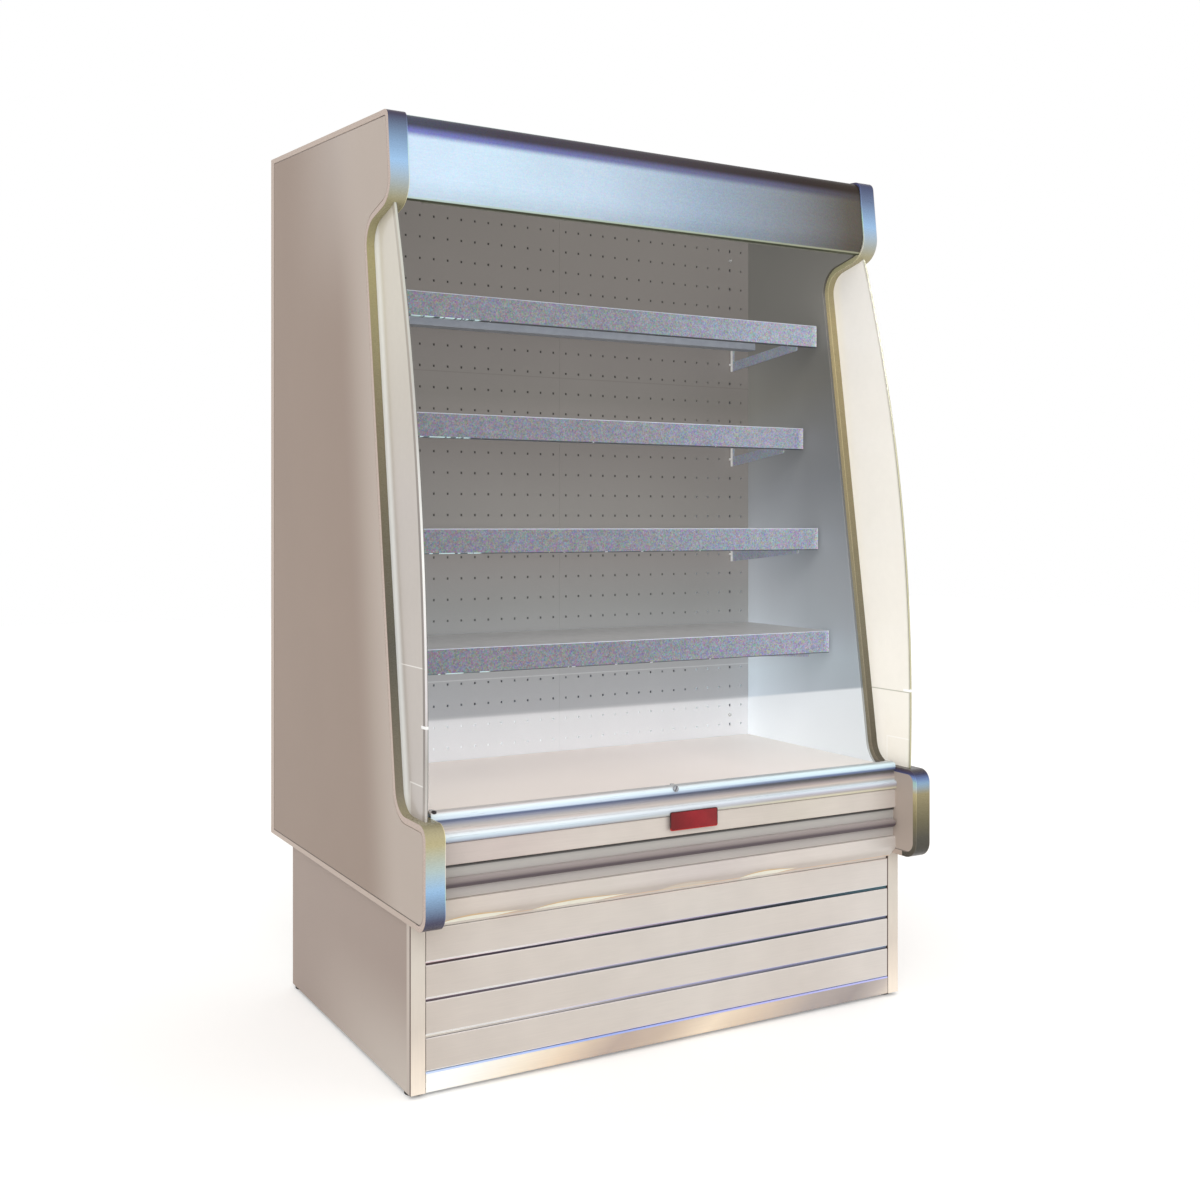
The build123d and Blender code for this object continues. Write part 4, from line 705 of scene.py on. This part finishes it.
def makeNosingFasteners():
    bm = bmesh.new()
    addSlottedScrew(bm, nosingScrew["place"], nosingScrew["direction"], nosingScrew,
                    math.radians(nosingScrew["turn"]))
    radius, height = endWasher["radius"], endWasher["height"]
    edge = [(radius, -1), (radius, height * 0.7), (radius * 0.9, height), (0, height)]
    addTurned(bm, edge, endWasher["place"], endWasher["direction"], 1)
    return makePiece("nosingFasteners", bm, "cabinet", makeFinish("screwBright", screwLook),
                     makeFinish("slotDark", slotLook))


makeNosingFasteners()

rearScrew = {"radius": 5.5, "height": 1.8, "slot": 0.7, "inset": 16, "topGap": 6, "rows": 9, "columns": 6,
             "turnStep": 1.1}
rearScrewLook = {"colour": "B4B0AA", "grainScale": 900, "grainContrast": 0.06, "roughness": 0.35,
                 "metallic": 0.5}
# the rear slots are dark bars too, painted shade for the slots' hollows
rearSlotLook = {"colour": "4A4642", "grainScale": 900, "grainContrast": 0.06}


def makeRearScrews():
    bm = bmesh.new()
    inset, rows, columns = rearScrew["inset"], rearScrew["rows"], rearScrew["columns"]
    low, high = rearLow.z + inset, rearHigh.z - inset - rearScrew["topGap"]
    left, right = rearLow.x + inset, rearHigh.x - inset
    spots = []
    for i in range(rows):
        z = low + (high - low) * i / (rows - 1)
        spots += [(left, z), (right, z)]
    for i in range(1, columns - 1):
        x = left + (right - left) * i / (columns - 1)
        spots += [(x, low), (x, high)]
    for number, (x, z) in enumerate(spots):
        addSlottedScrew(bm, (x, rearY, z), (0, 1, 0), rearScrew, number * rearScrew["turnStep"])
    return makePiece("rearScrews", bm, "cabinet", makeFinish("rearScrewSteel", rearScrewLook),
                     makeFinish("rearSlotDark", rearSlotLook))


makeRearScrews()
print("front finishes done")

# display space: the upper walls lie in shade, the lowest part in light

ductLook = {"grainScale": 500, "grainContrast": 0.015, "roughness": 0.45, "bump": 0.08, "specular": 0.35}
# painted shade on the upper duct sheets and painted light below the sharp edge near 670 mm
ductUp = [
    (560, "D0D0D2"), (667, "CFD0D2"), (675, "9EA0A3"), (760, "9C9EA0"), (950, "8F8F8D"), (1060, "918D8A"),
    (1180, "827F7B"), (1360, "847F7B"), (1480, "78746F"), (1600, "7F7A76"), (1945, "86817C"),
]
ductSeams = {"upper": (1533, "726D68"), "lower": (766, "B3B5B7")}  # where the sheets of the rear panels meet
seamSoftness = 1.2


def paintDuct(finish, axes, place):
    colour = ramp(finish, axes[up], ductUp)
    for height, code in ductSeams.values():
        seam = within(finish, axes[up], height - 1, height + 1, seamSoftness)
        colour = covered(finish, seam, colour, code)
    return colour


wear(makeFinish("ductSheet", ductLook, paintDuct), "left_duct_panel", "right_duct_panel")

linerLook = dict(ductLook, climb=0.156, lightEdge=(698, 690), shadeLevel=1.5, highFade=(1580, 1760),
                 high="FCFCFC", front="B0AEAA", frontFade=(598, 598.8))
linerUp = [
    (700, "B0BAC2"), (770, "B1BCC3"), (850, "AAB1B7"), (973, "A2A7AC"), (1243, "83868A"), (1500, "75746F"),
    (1700, "6F6E6A"),
]
linerLitUp = [(560, "F0F5F8"), (690, "ECF2F6")]
linerDepth = [(-350, "BCBCBC"), (-280, "BDBDBD"), (-120, "CECECE"), (40, "F0F0F0"), (110, "FFFFFF")]
linerLitDepth = [(-350, "E3E3E3"), (-200, "E9E9E9"), (110, "FEFEFE")]


# painted shade above a slanting edge and painted light below it, each fading with depth; the liner tinted
# darker beyond 598.8 mm out as painted shade
def paintLiner(finish, axes, place):
    look = linerLook
    lean = leaning(finish, axes[up], axes[back], look["climb"])  # the light edge climbs towards the front
    depth = covered(finish, fade(finish, axes[up], *look["highFade"]), ramp(finish, axes[back], linerDepth),
                    look["high"])
    upper = tinted(finish, ramp(finish, lean, linerUp, look["shadeLevel"]), depth)
    lower = tinted(finish, ramp(finish, lean, linerLitUp), ramp(finish, axes[back], linerLitDepth))
    colour = mixed(finish, fade(finish, lean, *look["lightEdge"]), upper, lower)
    front = fade(finish, maths(finish, "ABSOLUTE", axes[across]), *look["frontFade"])
    return mixed(finish, front, colour, tinted(finish, colour, solid(finish, look["front"])))


wear(makeFinish("linerWhite", linerLook, paintLiner), "left_inner_liner", "right_inner_liner")

# the deck's tone is lifted 6 % in brightness against its shade, lightest a little right of the middle
deckLook = {"level": 1.06, "grainScale": 700, "grainContrast": 0.012, "blotchContrast": 0.012,
            "roughness": 0.42, "bump": 0.08, "specular": 0.35}
deckAcross = [(-605, "D6CCC4"), (-50, "D7CDC6"), (260, "DDD4CE"), (480, "D7D0CA"), (605, "CFCAC5")]
wear(makeFinish("deckCoat", deckLook, paintAlong(across, deckAcross, deckLook["level"])), "deck_pan")

# the ceiling panel is painted dark grey as painted shade
plainInner = {  # finish, its colour and where it goes
    "ceilingInShade": ("8A8783", "ceiling_duct_panel"),
    "tubWhite": ("D8D6D2", "insulated_floor_tub"),
    "grillePlastic": ("C9C8C4", "discharge_grille"),
}
for name, (code, node) in plainInner.items():
    wear(makeFinish(name, dict(ductLook, colour=code)), node)

shelfLook = {
    "lowestHem": 825.5, "pitch": 262.5, "count": 4, "level": 0.6, "spangleScale": 330, "spangleShare": 0.8,
    "edge": "A3A7B2", "edgeHighlightUp": (54.6, 56.2), "hemUp": (-1, 2.1), "hemTurn": (-365, -375),
    "hemCold": ("5A6A70", "D4F0F2"), "hemColdFade": (440, 480), "hemPlain": ("50545A", "C4CACE"),
    "hemPlainFade": (640, 660), "hemScale": 60, "hemStretch": (1, 0.01, 0.01), "hemDetail": 4.0,
    "channelDepth": (0, 4), "channelTop": (54.5, 53.5), "top": "A6A5A4", "topFade": (56.5, 56.9),
    "wrapFade": (100, 101), "grainScale": 1100, "grainContrast": 0.1, "grainDetail": 4.0, "blotchScale": 40,
    "blotchContrast": 0.06, "roughness": 0.45, "metallic": 0.2, "bump": 0.2,
}
shelfAcross = [(-587, "8A8A92"), (0, "8B8D96"), (300, "989EAB"), (570, "B0B5C2"), (587, "DEDCE6")]
shelfChannelUp = [(8, "AEB2BA"), (11, "8F949D"), (40, "868B94"), (54, "8A8F98")]


# painted highlight along the folded lower edge, in broken stretches
def paintHemHighlight(finish, axes, place):  # the folded lower edge, bright in broken stretches
    look = shelfLook
    broken = noise(finish, place, look["hemScale"], look["hemStretch"], look["hemDetail"])
    cold, plain = [covered(finish, fade(finish, broken, *look[key + "Fade"]), solid(finish, look[key][0]),
                           look[key][1]) for key in ("hemCold", "hemPlain")]
    return mixed(finish, fade(finish, axes[across], *look["hemTurn"]), plain, cold)


# painted reflection lighter to the right with a painted highlight at the right end and along the top edge,
# and the tray tops a plain grey, painted shade like the wall behind
def paintShelf(finish, axes, place):
    look = shelfLook
    rise = repeating(finish, axes[up], look["lowestHem"], look["pitch"])
    colour = ramp(finish, axes[across], shelfAcross, look["level"])
    colour = spangled(finish, colour, place, look["spangleScale"], look["spangleShare"])
    colour = covered(finish, within(finish, rise, *look["edgeHighlightUp"]), colour, look["edge"])
    colour = mixed(finish, within(finish, rise, *look["hemUp"]), colour, paintHemHighlight(finish, axes, place))
    channel = both(finish, fade(finish, axes[back], *look["channelDepth"]),
                   fade(finish, rise, *look["channelTop"]))
    colour = mixed(finish, channel, colour, ramp(finish, rise, shelfChannelUp))
    top = most(finish, fade(finish, rise, *look["topFade"]), fade(finish, rise, *look["wrapFade"]))
    return covered(finish, top, colour, look["top"])


bracketLook = dict(shelfLook, colour="9DA3AF", spangleShare=0.5, rear="F4F4F2", rearHighlightFade=(128, 134))


# a painted highlight on the bracket's rear end
def paintBracket(finish, axes, place):  # in full light at the wall
    look = bracketLook
    colour = solid(finish, look["colour"])
    colour = spangled(finish, colour, place, look["spangleScale"], look["spangleShare"])
    return covered(finish, fade(finish, axes[back], *look["rearHighlightFade"]), colour, look["rear"])


shelves = range(1, shelfLook["count"] + 1)
wear(makeFinish("shelfZinc", shelfLook, paintShelf), *["shelf_%d_tray" % i for i in shelves])
wear(makeFinish("bracketZinc", bracketLook, paintBracket), *["shelf_%d_brackets" % i for i in shelves])
print("display space done")

# side panes

paneLook = {"grainScale": 60, "grainContrast": 0.01, "blotchContrast": 0.02, "roughness": 0.2,
            "roughnessSwing": 0.03, "bump": 0.02, "coat": 0.2, "alpha": 0.93, "specular": 0.3}
leftPane = {
    "faceUp": [(560, "C8C0BB"), (700, "C3BAB3"), (1000, "C5BCB4"), (1200, "CBC2BB"), (1410, "CFC7BB"),
               (1620, "DAD3C5"), (1830, "DDD6C8")],
    "edgeHighlightUp": [(560, "D6D1CD"), (680, "BDB9B3"), (800, "E4DEDF"), (1085, "FFFFFC"), (1365, "C6C4BF"),
               (1820, "CFCFC3")],
    "lineUp": [(560, "A79E96"), (700, "7E756E"), (1085, "837A73"), (1365, "9A9086"), (1600, "AEA596"),
               (1820, "C4BCAE")],
    "lineEnd": 13, "rear": "FFFFFC", "seamZ": 868, "seam": "FBF9F4", "level": 1.0, "outerShadeTint": "FFFFFF",
}
rightPane = {
    "faceUp": [(560, "F2ECE0"), (720, "F6F2E8"), (1460, "F9F5ED"), (1830, "F4F1EC")],
    "edgeHighlightUp": [(560, "A8A484"), (1820, "B6B496")],
    "lineUp": [(560, "C4C0A8"), (1820, "C2C0AC")],
    "lineEnd": 3.5, "rear": "F3EFE6", "seamZ": 747.5, "seam": "8E8C76", "level": 0.96, "outerShadeTint": "C2BDB6",
}
paneMarks = {
    "rearHighlightFade": (-42, -14), "seamShare": 0.8, "foot": "FBF9F4", "footShare": 0.7,  # outline of the clear foot
    "footUp": (633, 635.5, 1), "footFront": (-398, -400), "footDepth": (-402, -399, 1), "footTop": (636, 634),
    "lineStart": 1.5, "lineSoft": 3, "edgeFade": (0.9, 0.4), "inner": "72716C", "innerFade": (625.2, 624.4),
    "clip": "FFFFFE", "clipUp": (749, 755, 0.6), "clipFade": (24, 21), "outerFade": (628.4, 629),
}
bowPoints = ((-312, 1820), (-451, 1192), (-479, 561))  # depth and height along the panes' front edge


def bowCircle():  # the circle through the three points
    (ay, az), (by, bz), (cy, cz) = bowPoints
    d = 2 * (ay * (bz - cz) + by * (cz - az) + cy * (az - bz))
    a, b, c = ay * ay + az * az, by * by + bz * bz, cy * cy + cz * cz
    middleY = (a * (bz - cz) + b * (cz - az) + c * (az - bz)) / d
    middleZ = (a * (cy - by) + b * (ay - cy) + c * (by - ay)) / d
    return middleY, middleZ, math.hypot(ay - middleY, az - middleZ)


def insideBow(finish, axes):  # how far a place lies behind the panes' bowed front edge
    middleY, middleZ, radius = bowCircle()
    squares = [maths(finish, "POWER", maths(finish, "SUBTRACT", axes[axis], middle * mm), 2.0)
               for axis, middle in ((back, middleY), (up, middleZ))]
    reach = maths(finish, "SQRT", maths(finish, "ADD", *squares))
    return maths(finish, "SUBTRACT", radius * mm, reach)


# painted highlight along the rear edge and on the front edge face, painted shade in a line inside the front
# edge and on the inner edge, and the right pane's outer face painted darker as shade
def paintPane(pane):
    def paint(finish, axes, place):
        marks, level = paneMarks, pane["level"]
        outward = maths(finish, "ABSOLUTE", axes[across])
        inside = insideBow(finish, axes)
        colour = ramp(finish, axes[up], pane["faceUp"], level)
        rear = fade(finish, behindRecess(finish, axes), *marks["rearHighlightFade"])
        colour = covered(finish, rear, colour, pane["rear"])
        seam = within(finish, axes[up], pane["seamZ"] - 1, pane["seamZ"] + 1, 1)
        colour = covered(finish, maths(finish, "MULTIPLY", seam, marks["seamShare"]), colour, pane["seam"])
        footLine = both(finish, within(finish, axes[up], *marks["footUp"]),
                        fade(finish, axes[back], *marks["footFront"]))
        footSide = both(finish, within(finish, axes[back], *marks["footDepth"]),
                        fade(finish, axes[up], *marks["footTop"]))
        foot = maths(finish, "MULTIPLY", most(finish, footLine, footSide), marks["footShare"])
        colour = covered(finish, foot, colour, marks["foot"])
        line = within(finish, inside, marks["lineStart"], pane["lineEnd"], marks["lineSoft"])
        colour = mixed(finish, line, colour, ramp(finish, axes[up], pane["lineUp"], level))
        edge = fade(finish, inside, *marks["edgeFade"])
        colour = mixed(finish, edge, colour, ramp(finish, axes[up], pane["edgeHighlightUp"], level))
        inner = both(finish, edge, fade(finish, outward, *marks["innerFade"]))
        colour = covered(finish, inner, colour, marks["inner"])
        clip = both(finish, within(finish, axes[up], *marks["clipUp"]),
                    fade(finish, inside, *marks["clipFade"]))
        colour = covered(finish, clip, colour, marks["clip"])
        outer = fade(finish, outward, *marks["outerFade"])
        return mixed(finish, outer, colour, tinted(finish, colour, solid(finish, pane["outerShadeTint"])))
    return paint


wear(makeFinish("leftPaneAcrylic", paneLook, paintPane(leftPane)), "left_wing_pane")
wear(makeFinish("rightPaneAcrylic", paneLook, paintPane(rightPane)), "right_wing_pane")
print("side panes done")

# machinery, feet and light: each finish with the pieces that wear it

machineryLooks = {
    "galvanised": {
        "on": ["shelf_uprights", "evaporator_fan_plate", "condenser_fan_shroud"], "colour": "9A9EA6",
        "grainScale": 500, "grainContrast": 0.08, "roughness": 0.4, "metallic": 0.4, "bump": 0.12},
    "frameBlack": {
        "on": ["base_frame"], "colour": "3A393B", "grainScale": 500, "grainContrast": 0.06},
    "finAluminium": {
        "on": ["condenser_coil"], "colour": "C6C8CA", "grainScale": 900, "grainContrast": 0.08,
        "roughness": 0.35, "metallic": 0.6},
    "fanPlastic": {
        "on": ["condenser_fan", "evaporator_fan_left", "evaporator_fan_right"], "colour": "2A2A2C",
        "grainScale": 300, "grainContrast": 0.05, "roughness": 0.4},
    "motorEnamel": {
        "on": ["condenser_fan_motor", "evaporator_fan_motors"], "colour": "2C2C2E", "grainScale": 300,
        "grainContrast": 0.06, "roughness": 0.35, "coat": 0.3},
    "compressorEnamel": {
        "on": ["compressor"], "colour": "1E1E20", "grainScale": 250, "grainContrast": 0.06,
        "roughness": 0.3, "coat": 0.5},
    "trayPlastic": {
        "on": ["drain_tray"], "colour": "5E6064", "grainScale": 300, "grainContrast": 0.04,
        "roughness": 0.45},
    "controlGrey": {
        "on": ["control_box"], "colour": "B8BABC", "grainScale": 500, "grainContrast": 0.02,
        "roughness": 0.45},
    "switchBlack": {
        "on": ["power_switch"], "colour": "18181A", "grainScale": 300, "grainContrast": 0.03,
        "roughness": 0.3},
    "copperTube": {
        "on": ["refrigerant_lines"], "colour": "C98A62", "grainScale": 120, "grainContrast": 0.1,
        "roughness": 0.3, "metallic": 0.8},
    "screwSteel": {
        "on": ["cabinet_screws"], "colour": "C8C8C6", "grainScale": 800, "grainContrast": 0.05,
        "roughness": 0.25, "metallic": 0.7},
    "footRubber": {
        "on": ["foot_front_left", "foot_front_right", "foot_rear_left", "foot_rear_right"],
        "colour": "1C1C1C", "grainScale": 400, "grainContrast": 0.08, "roughness": 0.6},
    "lightAluminium": {
        "on": ["light_housing"], "colour": "C6C8CA", "grainScale": 500, "grainStretch": (0.1, 1, 1),
        "grainContrast": 0.04, "roughness": 0.35, "metallic": 0.6},
    "opalStrip": {
        "on": ["light_diffuser"], "colour": "8F9084", "grainScale": 200, "grainContrast": 0.01,
        "roughness": 0.35},
}
coilLook = {"grainScale": 900, "grainContrast": 0.08, "roughness": 0.4, "metallic": 0.2}
for name, look in machineryLooks.items():
    wear(makeFinish(name, look), *look["on"])
# the fins carry the same painted light and painted shade as the back wall behind the duct's holes
wear(makeFinish("evaporatorFins", coilLook, paintAlong(up, ductDepthUp)), "evaporator_coil")
print("machinery done")

# floor, light and camera

floorLook = {"colour": "F8F7F5", "half": 14.0, "lift": 0.22, "roughness": 0.9, "specular": 0.1}
studioLook = {
    "worldLevel": 0.8,
    "keyLight": {"direction": (0.45, 0.75, -0.6), "strength": 0.85, "softness": 40},
    "fillLight": {"direction": (-0.6, 0.6, -0.3), "strength": 0.25, "softness": 60},
}
bayLook = {  # even light for the inner faces alone, from both sides
    "strength": 1.55, "softness": 20,
    "directions": {"bayLightLeft": (0.75, 0.5, -0.43), "bayLightRight": (-0.75, 0.5, -0.43)},
    "walls": ["insulated_back_wall", "evaporator_coil", "left_duct_panel", "right_duct_panel",
              "left_inner_liner", "right_inner_liner", "deck_pan", "cabinet_screws", "insulated_floor_tub",
              "right_wing_pane"],
    "shelfParts": ["tray", "brackets"],
}


def seenByEye(owner):  # 1 for camera rays and for what metal and glass show
    path = addNode(owner, "LightPath")
    rays = [path.outputs[name] for name in ("Is Camera Ray", "Is Glossy Ray", "Is Transmission Ray")]
    return most(owner, *rays)


def makeFloor():
    mesh = bpy.data.meshes.new("studioFloor")
    half = floorLook["half"]
    corners = [(-half, -half, 0), (half, -half, 0), (half, half, 0), (-half, half, 0)]
    mesh.from_pydata(corners, [], [(0, 1, 2, 3)])
    floor = bpy.data.objects.new("studioFloor", mesh)
    bpy.context.scene.collection.objects.link(floor)
    finish = bpy.data.materials.new("floorPaper")
    finish.use_nodes = True
    sockets = finish.node_tree.nodes["Principled BSDF"].inputs
    sockets["Base Color"].default_value = tone(floorLook["colour"])
    sockets["Roughness"].default_value = floorLook["roughness"]
    sockets["Specular IOR Level"].default_value = floorLook["specular"]
    sockets["Emission Color"].default_value = (1, 1, 1, 1)
    lift = maths(finish, "MULTIPLY", seenByEye(finish), floorLook["lift"])
    join(finish, lift, sockets["Emission Strength"])
    mesh.materials.append(finish)


def makeWorld():
    world = bpy.data.worlds.new("studioWorld")
    bpy.context.scene.world = world
    world.use_nodes = True
    background = world.node_tree.nodes["Background"]
    background.inputs["Color"].default_value = (1, 1, 1, 1)
    strength = addNode(world, "MapRange")
    strength.inputs["To Min"].default_value = studioLook["worldLevel"]
    strength.inputs["To Max"].default_value = 1.0
    join(world, seenByEye(world), strength.inputs["Value"])
    join(world, strength.outputs[0], background.inputs["Strength"])


def makeSun(name, direction, strength, softness):
    lamp = bpy.data.lights.new(name, "SUN")
    lamp.energy = strength
    lamp.angle = math.radians(softness)
    holder = bpy.data.objects.new(name, lamp)
    bpy.context.scene.collection.objects.link(holder)
    holder.rotation_mode = "QUATERNION"
    holder.rotation_quaternion = Vector(direction).to_track_quat("-Z", "Y")
    return holder


def makeBayLight(name, direction):
    lamp = makeSun(name, direction, bayLook["strength"], bayLook["softness"])
    lamp.data.use_shadow = False
    receivers = bpy.data.collections.new(name)
    lit = bayLook["walls"] + ["shelf_%d_%s" % (i, part) for i in shelves for part in bayLook["shelfParts"]]
    for node in lit:
        receivers.objects.link(nodes[node])
    lamp.light_linking.receiver_collection = receivers


makeFloor()
makeWorld()
for name in ("keyLight", "fillLight"):
    makeSun(name, **studioLook[name])
for name, direction in bayLook["directions"].items():
    makeBayLight(name, direction)

cameraPlace = {  # metres, degrees and, for the horizon, a pixel row of the picture
    "x": -1.6678, "y": -3.0182, "z": 1.1509, "turn": -29.46, "lens": 41.45, "sensor": 36,
    "horizonPixel": 525.74, "pictureSize": 1200,
}


def makeCamera():
    place = cameraPlace
    camera = bpy.data.cameras.new("photoCamera")
    camera.lens = place["lens"]
    camera.sensor_width = place["sensor"]
    camera.shift_y = (place["horizonPixel"] - place["pictureSize"] / 2) / place["pictureSize"]
    holder = bpy.data.objects.new("photoCamera", camera)
    bpy.context.scene.collection.objects.link(holder)
    holder.location = (place["x"], place["y"], place["z"])
    holder.rotation_euler = (math.radians(90), 0, math.radians(place["turn"]))
    bpy.context.scene.camera = holder


makeCamera()
bpy.context.scene.view_settings.view_transform = "Standard"

print("scene ready")
